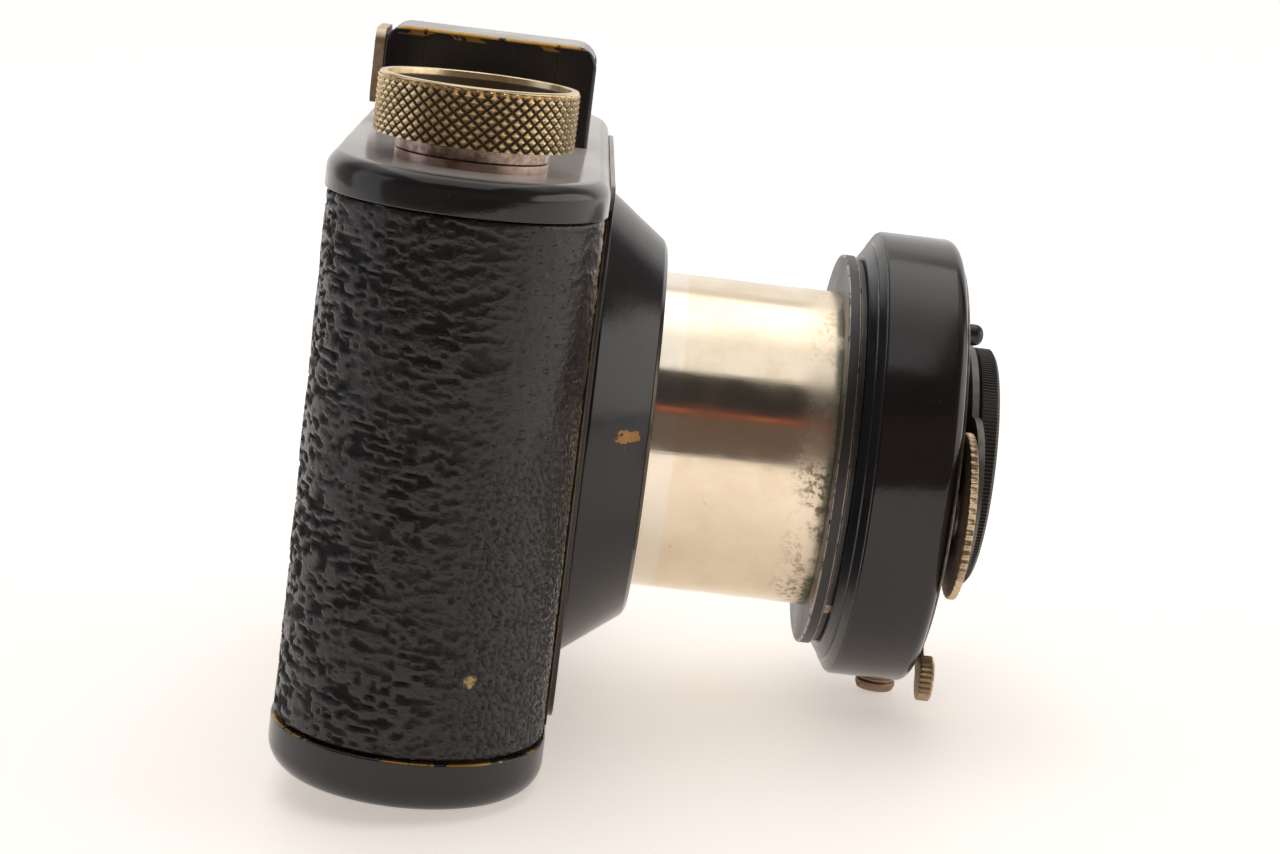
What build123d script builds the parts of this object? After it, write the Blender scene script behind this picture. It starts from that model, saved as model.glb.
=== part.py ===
from build123d import *
from math import asin, cos, radians, sin
import os

# Miniature roll-film camera with a collapsible lens tube and a dial-set leaf shutter.
# X runs along the body with the lens axis at X = 0, the front faces -Y, Z = 0 is the underside.
# "Forward" distances are measured along the lens axis from the body's middle plane.

# Body
body_length = 90.6
body_depth = 26.8
body_height = 60.0
bottom_cap_height = 5.2
top_cap_height = 3.5
cap_skin = 1.2
bottom_edge_radius = 2.8
top_edge_radius = 1.7
leather_inset = 0.1
leather_thickness = 1.0
shell_wall = 0.8
seam_gap = 0.15
shell_nesting = 2.0
case_clearance = 0.3
floor_drop = 0.2

# Front plate and lens collar
plate_width = 60.0
plate_thickness = 0.5
plate_gap = 0.4
plate_drop = 1.2
plate_corner = 4.2
lens_drop = 0.05
collar_nose_wall = 1.45
collar_slope = 4.7
collar_face_step = 0.7
collar_length = 6.7
collar_edge = 0.4
collar_lip = 0.8
collar_lip_gap = 0.3

# Lens tube, its guide ring and its flange
tube_radius = 16.85
tube_wall = 0.85
tube_stop_gap = 0.5
flange_rest_gap = 0.4
flare_step = 1.45
flare_length = 0.9
ring_wall = 1.8
running_clearance = 0.05
turning_clearance = 0.10
flange_radius = 20.9
flange_thickness = 2.0
felt_width = 1.4
felt_depth = 0.7
retaining_width = 2.2
retaining_thickness = 1.0

# Shutter
drum_radius = 23.8
drum_wall = 1.1
drum_length = 8.3
drum_edge_radius = 1.2
drum_front_wall = 1.0
bevel_length = 1.6
bevel_step = 2.6
back_step = 0.2
neck_radius = 12.35
neck_wall = 0.95
neck_length = 3.3
faceplate_inset = 2.0
faceplate_thickness = 0.4
boss_height = 0.5
barrel_radius = 9.8
barrel_wall = 0.8
barrel_root = 1.8
barrel_setback = 1.2
barrel_flange_width = 2.7
barrel_flange_thickness = 0.7
focus_radius = 12.7
focus_length = 2.2
focus_gap = 2.8
focus_edge = 0.3
focus_dish = 1.0
dial_radius = 8.5
dial_thickness = 0.9
dial_clearance = 0.2
dial_edge = 0.2
dial_angle = 185.3
index_offset = 12.2
lever_angle = 247.0
cocking_angle = 128.0
cocking_sweep = 40.0
cocking_pin_radius = 1.1
cocking_pin_flat = 0.2
cocking_gap = 0.3
cocking_collar = 2.4
cocking_width = 3.2
slot_inset = 3.5
slot_clearance = 0.15
aperture_angle = 15.0
aperture_sweep = 50.0
aperture_collar = 3.0
aperture_width = 2.4
aperture_post_radius = 0.7
pointer_gap = 0.3
pointer_tail = 2.5
pointer_tip = 3.0
pointer_width = 1.8
cocking_pin_height = 1.6
lever_tip_inset = 0.4
lever_pivot_distance = 16.0
lever_pivot_angle = 268.0
lever_width = 2.6
lever_eye = 1.4
lever_thickness = 0.6
lever_pad_radius = 2.4
lever_pad_height = 0.9
index_gap = 0.1
index_thickness = 0.7
index_margin = 0.2
dial_post_radius = 1.4
boss_radius = 2.4
pivot_head_lip = 0.7
pivot_head_height = 0.5
flange_screw_radius = 1.3
flange_screw_inset = 1.6
flange_screw_angle = 222.0
flange_screw_slot = 0.2
screw_slot_width = 0.7
leaf_thickness = 0.12
leaf_pitch = 0.2
works_plate = 0.5
works_radius = 8.0
works_depth = 3.0
driver_space = 0.9
driver_radius = 14.5
driver_width = 2.0
blade_count = 3
blade_radius = 8.8
blade_half_angle = 64.0
blade_pivot_distance = 12.0
blade_pivot_radius = 0.5
blade_heel = 0.5
blade_arm_width = 3.0
iris_count = 5
iris_distance = 9.6
iris_half_width = 1.4
iris_span = 135.0
iris_pivot_distance = 12.2
iris_pivot_radius = 0.4
iris_arm_width = 2.0
socket_radius = 2.15
socket_bore = 1.7
socket_setback = 6.05
socket_drop = 1.9
socket_root = 1.0
socket_hole_rise = 3.0
socket_edge = 0.4

# Lens cells and glass: distances back from the front of the front cell, or forward from the rear cell's tail
cell_wall = 1.0
cell_setback = 0.8
cell_length = 6.0
cell_lip_width = 0.4
cell_lip_depth = 0.8
front_glass_back = 3.6
front_glass_front = 2.0
front_glass_hollow = 0.4
front_glass_bulge = 1.3
rear_cell_wall = 1.2
rear_cell_tail = 2.0
rear_cell_reach = 0.5
rear_glass_back = 1.2
rear_glass_front = 4.2
rear_glass_back_bulge = 0.9
rear_glass_front_bulge = 0.5

# Film transport: the sizes below leave room for a 49.3 mm spool of 46 mm film
spool_wall_gap = 1.3
spool_partition_gap = 2.15
spool_flange_thickness = 0.8
spool_core_radius = 4.0
spool_bore_radius = 2.1
spool_end_play = 0.2
key_width = 1.2
key_span = 6.4
key_depth = 3.4
key_clearance = 0.1
pivot_length = 2.5
chassis_plate = 0.8
ceiling_plate = 1.0
chassis_wall = 0.6
front_wall = 1.5
gate_thickness = 1.2
frame_width = 30.0
frame_margin = 4.65
film_setback = 6.9
film_gap = 0.4
roller_radius = 1.2
roller_pin_radius = 0.5
roller_gap = 0.25
pressure_margin = 2.65
pressure_thickness = 0.7
pressure_corner = 1.5
pressure_spring_thickness = 0.3
pressure_spring_width = 18.0
pressure_spring_foot = 11.0
pressure_spring_bend = 7.0
pressure_spring_crown = 3.0
drag_spring_thickness = 0.25
drag_spring_width = 16.0
drag_spring_root = 1.0
drag_spring_bend = 5.0
drag_spring_tip = 1.0
drag_spring_lift = 1.2

# Winding knob
knob_radius = 9.5
hub_rise = 2.1
knob_height = 5.7
knob_rim = 0.9
knob_edge = 0.4
cup_floor_rise = 1.8
hub_radius = 7.25
base_ring_height = 0.85
shaft_radius = 2.0
bush_wall = 1.2
bush_rise = 0.2
knob_screw_radius = 3.4
knob_screw_height = 1.0
knob_screw_edge = 0.4
knob_screw_slot = 0.5

# Finder
finder_width = 11.0
finder_height = 10.3
finder_front_inset = 2.55
finder_back_inset = 2.4
finder_wall = 1.2
finder_corner = 2.2
finder_groove_width = 0.35
finder_groove_depth = 0.18
finder_groove_inset = 4.1
finder_side_edge = 0.5
finder_sill = 2.2
finder_lens_recess = 0.8
finder_lens_thickness = 1.6
finder_lens_curve = 12.0
finder_lens_dish = 0.6
eyepiece_thickness = 1.0
eyepiece_radius = 2.6
eyepiece_margin = 0.3
eyepiece_height = 7.7
eyepiece_corner = 1.6
eyepiece_rise = 0.7
eyepiece_edge = 0.3
eyepiece_lens_thickness = 1.2

# Tripod bush: a 1/4 inch thread, drawn at its tapping size
tripod_bore_radius = 2.6
tripod_bore_length = 4.0
tripod_bush_radius = 5.5
tripod_bush_floor = 0.6

# Red windows in the back, one frame pitch apart
window_offset = 15.9
window_radius = 3.1
window_tube = 0.5
window_flange = 0.9
window_flange_height = 0.3
ruby_thickness = 0.6

# Places worked out from the sizes above
half_length = body_length / 2
half_depth = body_depth / 2
end_centre = half_length - half_depth
skin_half = half_depth - leather_inset
shell_half = skin_half - leather_thickness
inside_half = shell_half - shell_wall
chassis_half = inside_half - case_clearance
seam_low = bottom_cap_height
seam_high = body_height - top_cap_height
chassis_low = seam_low - floor_drop
floor_top = chassis_low + chassis_plate
spool_low = floor_top + spool_end_play
ceiling_low = seam_high - ceiling_plate
spool_high = ceiling_low - spool_end_play
spool_length = spool_high - spool_low
lens_height = (spool_low + spool_high) / 2 - lens_drop
film_plane = half_depth - film_setback
plate_low = bottom_cap_height + plate_gap
plate_high = body_height - plate_drop
plate_back = half_depth
plate_front = plate_back + plate_thickness
collar_front = plate_front + collar_length
ring_bore = tube_radius + running_clearance
ring_radius = tube_radius + ring_wall
collar_bore = ring_radius + turning_clearance
collar_nose_radius = collar_bore + collar_nose_wall
collar_base_radius = collar_nose_radius + collar_slope
collar_face_radius = collar_nose_radius - collar_face_step
ring_front = collar_front - collar_lip - turning_clearance
flare_radius = tube_radius + flare_step
flare_back = half_depth + turning_clearance
tube_travel = flare_back + film_plane - gate_thickness - tube_stop_gap
ring_back = flare_back + flare_length + case_clearance
flange_back = collar_front + tube_travel + flange_rest_gap
flange_front = flange_back + flange_thickness
drum_back = flange_front + bevel_length
drum_front = drum_back + drum_length
bevel_small_radius = drum_radius - bevel_step
faceplate_radius = drum_radius - faceplate_inset
slot_radius = drum_radius - slot_inset
lever_reach = drum_radius - lever_tip_inset
flange_screw_distance = flange_radius - flange_screw_inset
plate_forward = drum_back + works_depth
socket_forward = drum_back + socket_setback
face_front = drum_front + faceplate_thickness
cocking_pin_front = face_front + cocking_pin_height
focus_back = face_front + focus_gap
focus_front = focus_back + focus_length
dial_back = face_front + boss_height
dial_front = dial_back + dial_thickness
dial_distance = barrel_radius + dial_clearance + dial_radius
index_back = focus_back - index_gap - index_thickness
inner_radius = drum_radius - drum_wall
cell_radius = barrel_radius - barrel_wall - running_clearance
glass_radius = cell_radius - cell_wall
partition_inside = collar_bore + turning_clearance + running_clearance
partition_outside = partition_inside + chassis_wall
roller_offset = partition_outside + roller_radius + roller_gap
roller_line = film_plane - roller_radius
spool_flange_radius = min(
    inside_half - spool_wall_gap,
    end_centre - partition_outside - spool_partition_gap,
)
pressure_width = 2 * (roller_offset - roller_radius)
pressure_height = spool_length - 2 * pressure_margin
frame_height = spool_length - 2 * frame_margin
knob_low = body_height + hub_rise
knob_high = knob_low + knob_height
knob_floor = knob_low + cup_floor_rise
finder_front = half_depth - finder_front_inset
finder_back = half_depth - finder_back_inset
socket_low = lens_height - drum_radius - socket_drop
socket_length = socket_drop + drum_wall + socket_root

lens_axis = Axis((0, 0, lens_height), (0, -1, 0))
lens_profile = Plane(origin=(0, 0, lens_height), x_dir=(1, 0, 0), z_dir=(0, 0, -1))
knob_axis = Axis((-end_centre, 0, 0), (0, 0, 1))


def lens_plane(forward):
    """Plane across the lens axis, X to the right and Z up, extruding forward."""
    return Plane(origin=(0, -forward, lens_height), x_dir=(1, 0, 0), z_dir=(0, -1, 0))


def polar(radius, angle):
    """Point on a lens plane, at an angle counted from +X towards +Z."""
    return (radius * cos(radians(angle)), radius * sin(radians(angle)))


def turned(outline):
    """Piece turned about the lens axis from (radius, forward) points."""
    with BuildPart() as piece:
        with BuildSketch(lens_profile):
            with BuildLine():
                Polyline(*outline, close=True)
            make_face()
        revolve(axis=lens_axis)
    return piece


def tube(outer, inner, back, front):
    """Plain ring about the lens axis."""
    return turned([(inner, back), (outer, back), (outer, front), (inner, front)])


def save(piece, label):
    """Labels a finished piece and writes it to its own file."""
    piece.part.label = label
    export_step(piece.part, f"parts/{label}.step")


os.makedirs("parts", exist_ok=True)


dial_centre = polar(dial_distance, dial_angle)
lever_pivot = polar(lever_pivot_distance, lever_pivot_angle)


# ---------------------------------------------------------------- removable case
def body_outline(half, mode=Mode.ADD):
    """Round-ended outline of the body at a given half depth, in the sketch being built."""
    return SlotOverall(2 * (end_centre + half), 2 * half, mode=mode)


def window_holes(radius):
    """Sketch of the two red-window holes, behind the body."""
    with BuildSketch(lens_plane(-half_depth - 1)) as holes:
        with Locations((-window_offset, 0), (window_offset, 0)):
            Circle(radius)
    return holes.sketch


def wrapped_skin(outer_half, inner_half, low, high):
    """Wall round the back and both ends, open in front between the front plate's edges."""
    with BuildPart() as piece:
        with BuildSketch(Plane.XY.offset(low)):
            body_outline(outer_half)
            body_outline(inner_half, Mode.SUBTRACT)
            with Locations((0, -half_depth)):
                Rectangle(plate_width - 2 * case_clearance, body_depth, mode=Mode.SUBTRACT)
        extrude(amount=high - low)
        holes = window_holes(window_radius + window_tube)
        extrude(holes, amount=half_depth - film_plane, mode=Mode.SUBTRACT)
    return piece


save(wrapped_skin(shell_half, inside_half, seam_low - shell_nesting, seam_high - seam_gap), "case_shell")
save(wrapped_skin(skin_half, shell_half, seam_low + 2 * seam_gap, seam_high - seam_gap), "leather_cover")

with BuildPart() as bottom_cap:
    with BuildSketch():
        body_outline(half_depth)
    extrude(amount=bottom_cap_height)
    fillet(bottom_cap.faces().sort_by(Axis.Z)[0].edges(), bottom_edge_radius)
    with BuildSketch(Plane.XY.offset(cap_skin)):
        body_outline(shell_half)
    extrude(amount=bottom_cap_height, mode=Mode.SUBTRACT)
    with BuildSketch():
        Circle(tripod_bush_radius)
    extrude(amount=cap_skin, mode=Mode.SUBTRACT)
save(bottom_cap, "bottom_cap")

with BuildPart() as tripod_bush:
    with BuildSketch():
        Circle(tripod_bush_radius)
    extrude(amount=tripod_bore_length + tripod_bush_floor)
    with BuildSketch():
        Circle(tripod_bore_radius)
    extrude(amount=tripod_bore_length, mode=Mode.SUBTRACT)
save(tripod_bush, "tripod_bush")

pressure_front = film_plane + film_gap
with BuildPart() as pressure_plate:
    with Locations((0, pressure_front + pressure_thickness / 2, lens_height)):
        Box(pressure_width, pressure_thickness, pressure_height)
    fillet(pressure_plate.edges().filter_by(Axis.Y), pressure_corner)
    extrude(window_holes(window_radius), amount=half_depth - film_plane, mode=Mode.SUBTRACT)
save(pressure_plate, "pressure_plate")

spring_back = inside_half - pressure_spring_thickness / 2
spring_front = pressure_front + pressure_thickness + pressure_spring_thickness / 2
with BuildPart() as pressure_spring:
    with BuildSketch(Plane.XY.offset(lens_height - pressure_spring_width / 2)):
        with BuildLine():
            Polyline(
                (-pressure_spring_foot, spring_back),
                (-pressure_spring_bend, spring_back),
                (-pressure_spring_crown, spring_front),
                (pressure_spring_crown, spring_front),
                (pressure_spring_bend, spring_back),
                (pressure_spring_foot, spring_back),
            )
            offset(amount=pressure_spring_thickness / 2)
        make_face()
    extrude(amount=pressure_spring_width)
save(pressure_spring, "pressure_spring")

back_plane = Plane(origin=(0, 0, lens_height), x_dir=(1, 0, 0), z_dir=(0, 1, 0))
with BuildPart() as window_bezels:
    for side in (-1, 1):
        with BuildSketch(back_plane.offset(inside_half)):
            with Locations((side * window_offset, 0)):
                Circle(window_radius + window_tube)
                Circle(window_radius, mode=Mode.SUBTRACT)
        extrude(amount=skin_half - inside_half)
        with BuildSketch(back_plane.offset(skin_half)):
            with Locations((side * window_offset, 0)):
                Circle(window_radius + window_tube + window_flange)
                Circle(window_radius, mode=Mode.SUBTRACT)
        extrude(amount=window_flange_height)
save(window_bezels, "window_bezels")

with BuildPart() as ruby_windows:
    with BuildSketch(back_plane.offset(shell_half - ruby_thickness / 2)):
        with Locations((-window_offset, 0), (window_offset, 0)):
            Circle(window_radius)
    extrude(amount=ruby_thickness)
save(ruby_windows, "ruby_windows")


# ---------------------------------------------------------------- fixed body
with BuildPart() as front_plate:
    with BuildSketch(lens_plane(plate_back)):
        with Locations((0, (plate_low + plate_high) / 2 - lens_height)):
            RectangleRounded(plate_width, plate_high - plate_low, plate_corner)
        Circle(collar_bore, mode=Mode.SUBTRACT)
    extrude(amount=plate_thickness)
save(front_plate, "front_plate")

lens_collar = turned(
    [
        (collar_bore, plate_front),
        (collar_base_radius, plate_front),
        (collar_nose_radius, collar_front - collar_edge),
        (collar_face_radius, collar_front),
        (tube_radius + collar_lip_gap, collar_front),
        (tube_radius + collar_lip_gap, collar_front - collar_lip),
        (collar_bore, collar_front - collar_lip),
    ]
)
save(lens_collar, "lens_collar")

shaft_hole = shaft_radius + running_clearance + bush_wall + running_clearance
with BuildPart() as top_cap:
    with BuildSketch(Plane.XY.offset(seam_high)):
        body_outline(half_depth)
    extrude(amount=top_cap_height)
    fillet(top_cap.faces().sort_by(Axis.Z)[-1].edges(), top_edge_radius)
    pocket_half = chassis_half - cap_skin
    with BuildSketch(Plane.XY.offset(seam_high)):
        body_outline(pocket_half)
    extrude(amount=top_cap_height - cap_skin, mode=Mode.SUBTRACT)
    with BuildSketch(Plane.XY.offset(seam_high)):
        with Locations((-end_centre, 0)):
            Circle(shaft_hole)
    extrude(amount=top_cap_height, mode=Mode.SUBTRACT)
save(top_cap, "top_cap")

with BuildPart() as knob_base_ring:
    with BuildSketch(Plane.XY.offset(body_height)):
        with Locations((-end_centre, 0)):
            Circle(hub_radius)
            Circle(shaft_hole, mode=Mode.SUBTRACT)
    extrude(amount=base_ring_height - running_clearance)
save(knob_base_ring, "knob_base_ring")

front_wall_half = plate_width / 2 - 2 * case_clearance
front_wall_back = half_depth - front_wall
key_passage = key_span / 2 + key_clearance
with BuildPart() as inner_chassis:
    # floor, notched behind the film gate so that the case can draw off past it
    with BuildSketch(Plane.XY.offset(chassis_low)):
        body_outline(chassis_half)
        with Locations((0, -front_wall_back / 2)):
            Rectangle(2 * front_wall_half, front_wall_back)
        with Locations((0, film_plane + half_depth)):
            Rectangle(2 * roller_offset + case_clearance, body_depth, mode=Mode.SUBTRACT)
    extrude(amount=chassis_plate)
    # ceiling
    with BuildSketch(Plane.XY.offset(ceiling_low)):
        body_outline(chassis_half)
        with Locations((0, -front_wall_back / 2)):
            Rectangle(2 * front_wall_half, front_wall_back)
    extrude(amount=seam_high - ceiling_low)
    # front wall
    with BuildSketch(Plane.XY.offset(seam_low + case_clearance)):
        with Locations((0, -half_depth + front_wall / 2)):
            Rectangle(2 * front_wall_half, front_wall)
    extrude(amount=seam_high - seam_low - case_clearance)
    # partitions either side of the light box, and the film gate behind it
    for side in (-1, 1):
        with BuildSketch(Plane.XY.offset(chassis_low)):
            partition_middle = side * (partition_inside + chassis_wall / 2)
            with Locations((partition_middle, (film_plane - front_wall_back) / 2)):
                Rectangle(chassis_wall, film_plane + front_wall_back)
        extrude(amount=seam_high - chassis_low)
    with BuildSketch(Plane.XY.offset(chassis_low)):
        with Locations((0, film_plane - gate_thickness / 2)):
            Rectangle(2 * partition_inside + chassis_wall, gate_thickness)
    extrude(amount=seam_high - chassis_low)
    with Locations((0, film_plane, lens_height)):
        Box(frame_width, 4 * gate_thickness, frame_height, mode=Mode.SUBTRACT)
    # lens opening
    with BuildSketch(lens_plane(front_wall_back - 1)):
        Circle(collar_bore)
    extrude(amount=front_wall + 1, mode=Mode.SUBTRACT)
    # key passage and roller pivot holes
    with BuildSketch(Plane.XY.offset(ceiling_low)):
        with Locations((-end_centre, 0)):
            Circle(key_passage)
    extrude(amount=seam_high, mode=Mode.SUBTRACT)
    with BuildSketch(Plane.XY):
        with Locations((-roller_offset, roller_line), (roller_offset, roller_line)):
            Circle(roller_pin_radius + running_clearance)
    extrude(amount=body_height, mode=Mode.SUBTRACT)
save(inner_chassis, "inner_chassis")

pivot_radius = spool_bore_radius - turning_clearance
with BuildPart() as spool_pivots:
    with BuildSketch(Plane.XY.offset(floor_top)):
        with Locations((-end_centre, 0), (end_centre, 0)):
            Circle(pivot_radius)
    extrude(amount=pivot_length)
    with BuildSketch(Plane.XY.offset(ceiling_low)):
        with Locations((end_centre, 0)):
            Circle(pivot_radius)
    extrude(amount=-pivot_length)
save(spool_pivots, "spool_pivots")

drag_root = partition_inside + chassis_wall + drag_spring_thickness / 2
drag_lift = partition_inside + chassis_wall + drag_spring_lift
with BuildPart() as drag_springs:
    for side in (-1, 1):
        with BuildSketch(Plane.XY.offset(lens_height - drag_spring_width / 2)):
            with BuildLine():
                Polyline(
                    (side * drag_root, -front_wall_back + drag_spring_root),
                    (side * drag_root, -front_wall_back + drag_spring_bend),
                    (side * drag_lift, -drag_spring_tip),
                )
                offset(amount=drag_spring_thickness / 2)
            make_face()
        extrude(amount=drag_spring_width)
save(drag_springs, "drag_springs")


# ---------------------------------------------------------------- finder
finder_high = body_height + finder_height
window_low = body_height + finder_sill
window_high = finder_high - finder_wall
window_middle = (window_low + window_high) / 2
finder_middle = (finder_back - finder_front) / 2
with BuildPart() as finder_housing:
    with Locations((0, finder_middle, body_height + finder_height / 2)):
        Box(finder_width, finder_front + finder_back, finder_height)
    fillet(
        finder_housing.edges().filter_by(Axis.X).group_by(Axis.Z)[-1],
        finder_corner,
    )
    fillet(finder_housing.edges().filter_by(Axis.Y).group_by(Axis.Z)[-1], finder_side_edge)
    with Locations((0, finder_middle, window_middle)):
        Box(
            finder_width - 2 * finder_wall,
            2 * (finder_front + finder_back),
            window_high - window_low,
            mode=Mode.SUBTRACT,
        )
    for end in (-finder_front + finder_groove_inset, finder_back - finder_groove_inset):
        for side in (-1, 1):
            with Locations((side * finder_width / 2, end, body_height + finder_height / 2)):
                Box(2 * finder_groove_depth, finder_groove_width, 2 * finder_height, mode=Mode.SUBTRACT)
save(finder_housing, "finder_housing")

with BuildPart() as finder_front_lens:
    with Locations((0, -finder_front + finder_lens_recess + finder_lens_thickness / 2, window_middle)):
        Box(finder_width - 2 * finder_wall, finder_lens_thickness, window_high - window_low)
    dish_bottom = -finder_front + finder_lens_recess + finder_lens_dish
    with Locations((0, dish_bottom - finder_lens_curve, window_middle)):
        Sphere(finder_lens_curve, mode=Mode.SUBTRACT)
save(finder_front_lens, "finder_front_lens")

eyepiece_plane = Plane(origin=(0, 0, 0), x_dir=(-1, 0, 0), z_dir=(0, 1, 0))
with BuildPart() as finder_eyepiece_plate:
    with BuildSketch(eyepiece_plane.offset(finder_back)):
        with Locations((0, body_height + finder_height / 2 + eyepiece_rise)):
            RectangleRounded(finder_width - 2 * eyepiece_margin, eyepiece_height, eyepiece_corner)
        with Locations((0, window_middle)):
            Circle(eyepiece_radius, mode=Mode.SUBTRACT)
    extrude(amount=eyepiece_thickness)
    chamfer(finder_eyepiece_plate.edges().filter_by(GeomType.CIRCLE).sort_by(Axis.Y)[-1], eyepiece_edge)
save(finder_eyepiece_plate, "finder_eyepiece_plate")

with BuildPart() as finder_eyepiece_lens:
    with BuildSketch(eyepiece_plane.offset(finder_back - eyepiece_lens_thickness)):
        with Locations((0, window_middle)):
            Rectangle(finder_width - 2 * finder_wall, window_high - window_low)
    extrude(amount=eyepiece_lens_thickness)
save(finder_eyepiece_lens, "finder_eyepiece_lens")


# ---------------------------------------------------------------- film transport
def knob_disc(outer, inner, low, high):
    """Ring about the winding knob's axis."""
    with BuildPart() as piece:
        with BuildSketch(Plane.XY.offset(low)):
            with Locations((-end_centre, 0)):
                Circle(outer)
                Circle(inner, mode=Mode.SUBTRACT)
        extrude(amount=high - low)
    return piece


lift_bush = knob_disc(
    shaft_hole - running_clearance,
    shaft_radius + running_clearance,
    seam_high + bush_rise,
    body_height + base_ring_height - turning_clearance,
)
save(lift_bush, "lift_bush")

hub_low = body_height + base_ring_height
with BuildPart() as winding_knob:
    with BuildSketch(Plane(origin=(-end_centre, 0, 0), x_dir=(1, 0, 0), z_dir=(0, -1, 0))):
        with BuildLine():
            Polyline(
                (shaft_radius, hub_low),
                (hub_radius, hub_low),
                (hub_radius, knob_low),
                (knob_radius - knob_edge, knob_low),
                (knob_radius, knob_low + knob_edge),
                (knob_radius, knob_high - knob_edge),
                (knob_radius - knob_edge, knob_high),
                (knob_radius - knob_rim, knob_high),
                (knob_radius - knob_rim, knob_floor),
                (shaft_radius, knob_floor),
                close=True,
            )
        make_face()
    revolve(axis=knob_axis)
save(winding_knob, "winding_knob")

key_low = spool_high - key_depth + key_clearance
with BuildPart() as winding_shaft:
    with BuildSketch(Plane.XY.offset(spool_high + key_clearance)):
        with Locations((-end_centre, 0)):
            Circle(shaft_radius)
    extrude(amount=knob_floor - spool_high - key_clearance)
    with BuildSketch(Plane.XY.offset(key_low)):
        with Locations((-end_centre, 0)):
            Rectangle(key_span, key_width)
    extrude(amount=ceiling_low - key_low)
save(winding_shaft, "winding_shaft")

with BuildPart() as knob_screw:
    with BuildSketch(Plane.XY.offset(knob_floor)):
        with Locations((-end_centre, 0)):
            Circle(knob_screw_radius)
    extrude(amount=knob_screw_height)
    fillet(knob_screw.edges().group_by(Axis.Z)[-1], knob_screw_edge)
    with Locations((-end_centre, 0, knob_floor + knob_screw_height)):
        Box(3 * knob_screw_radius, screw_slot_width, 2 * knob_screw_slot, mode=Mode.SUBTRACT)
save(knob_screw, "knob_screw")


def spool(centre, keyed):
    """Film spool with an axial bore at each end and, when keyed, a slot across its top."""
    with BuildPart() as piece:
        for low, radius, height in (
            (spool_low, spool_core_radius, spool_length),
            (spool_low, spool_flange_radius, spool_flange_thickness),
            (spool_high - spool_flange_thickness, spool_flange_radius, spool_flange_thickness),
        ):
            with BuildSketch(Plane.XY.offset(low)):
                with Locations((centre, 0)):
                    Circle(radius)
            extrude(amount=height)
        for low, amount in ((spool_low, key_depth), (spool_high, -key_depth)):
            with BuildSketch(Plane.XY.offset(low)):
                with Locations((centre, 0)):
                    Circle(spool_bore_radius)
            extrude(amount=amount, mode=Mode.SUBTRACT)
        if keyed:
            with BuildSketch(Plane.XY.offset(spool_high)):
                with Locations((centre, 0)):
                    Rectangle(key_span + 2 * key_clearance, key_width + 2 * key_clearance)
            extrude(amount=-key_depth, mode=Mode.SUBTRACT)
    return piece


save(spool(-end_centre, True), "take_up_spool")
save(spool(end_centre, True), "supply_spool")


def film_roller(centre):
    """Roller at the film gate's edge, on a thin pin at each end."""
    with BuildPart() as piece:
        for low, high, radius in (
            (spool_low, spool_high, roller_radius),
            (chassis_low, seam_high - turning_clearance, roller_pin_radius),
        ):
            with BuildSketch(Plane.XY.offset(low)):
                with Locations((centre, roller_line)):
                    Circle(radius)
            extrude(amount=high - low)
    return piece


save(film_roller(-roller_offset), "film_roller_left")
save(film_roller(roller_offset), "film_roller_right")


# ---------------------------------------------------------------- lens tube
felt_back = ring_front - felt_width
guide_ring = turned(
    [
        (ring_bore, ring_back),
        (ring_radius, ring_back),
        (ring_radius, ring_front),
        (ring_bore + felt_depth, ring_front),
        (ring_bore + felt_depth, felt_back),
        (ring_bore, felt_back),
    ]
)
save(guide_ring, "guide_ring")
save(tube(ring_bore + felt_depth, ring_bore, felt_back, ring_front), "felt_ring")

tube_inside = tube_radius - tube_wall
lens_tube = turned(
    [
        (tube_inside, flare_back),
        (flare_radius, flare_back),
        (flare_radius, flare_back + flare_length),
        (tube_radius, flare_back + flare_length),
        (tube_radius, flange_back),
        (tube_inside, flange_back),
    ]
)
save(lens_tube, "lens_tube")
with BuildPart() as tube_flange:
    with BuildSketch(lens_plane(flange_back)):
        Circle(flange_radius)
        Circle(neck_radius, mode=Mode.SUBTRACT)
        with Locations(polar(flange_screw_distance, flange_screw_angle)):
            Circle(flange_screw_radius, mode=Mode.SUBTRACT)
    extrude(amount=flange_thickness)
save(tube_flange, "tube_flange")
retaining_radius = neck_radius + retaining_width
save(tube(retaining_radius, neck_radius, flange_back - retaining_thickness, flange_back), "retaining_ring")


# ---------------------------------------------------------------- shutter case
neck_inside = neck_radius - neck_wall
shutter_back = turned(
    [
        (neck_inside, flange_front - neck_length),
        (neck_radius, flange_front - neck_length),
        (neck_radius, flange_front),
        (bevel_small_radius, flange_front),
        (drum_radius - back_step, drum_back - back_step / 2),
        (drum_radius - back_step, drum_back),
        (neck_inside, drum_back),
    ]
)
save(shutter_back, "shutter_back")


def arc_slot(radius, half_width, start, sweep, mode=Mode.ADD):
    """Curved slot in the sketch being built, about the lens axis."""
    with BuildLine() as path:
        CenterArc((0, 0), radius, start, sweep)
    return SlotArc(path.wire(), 2 * half_width, mode=mode)


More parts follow.
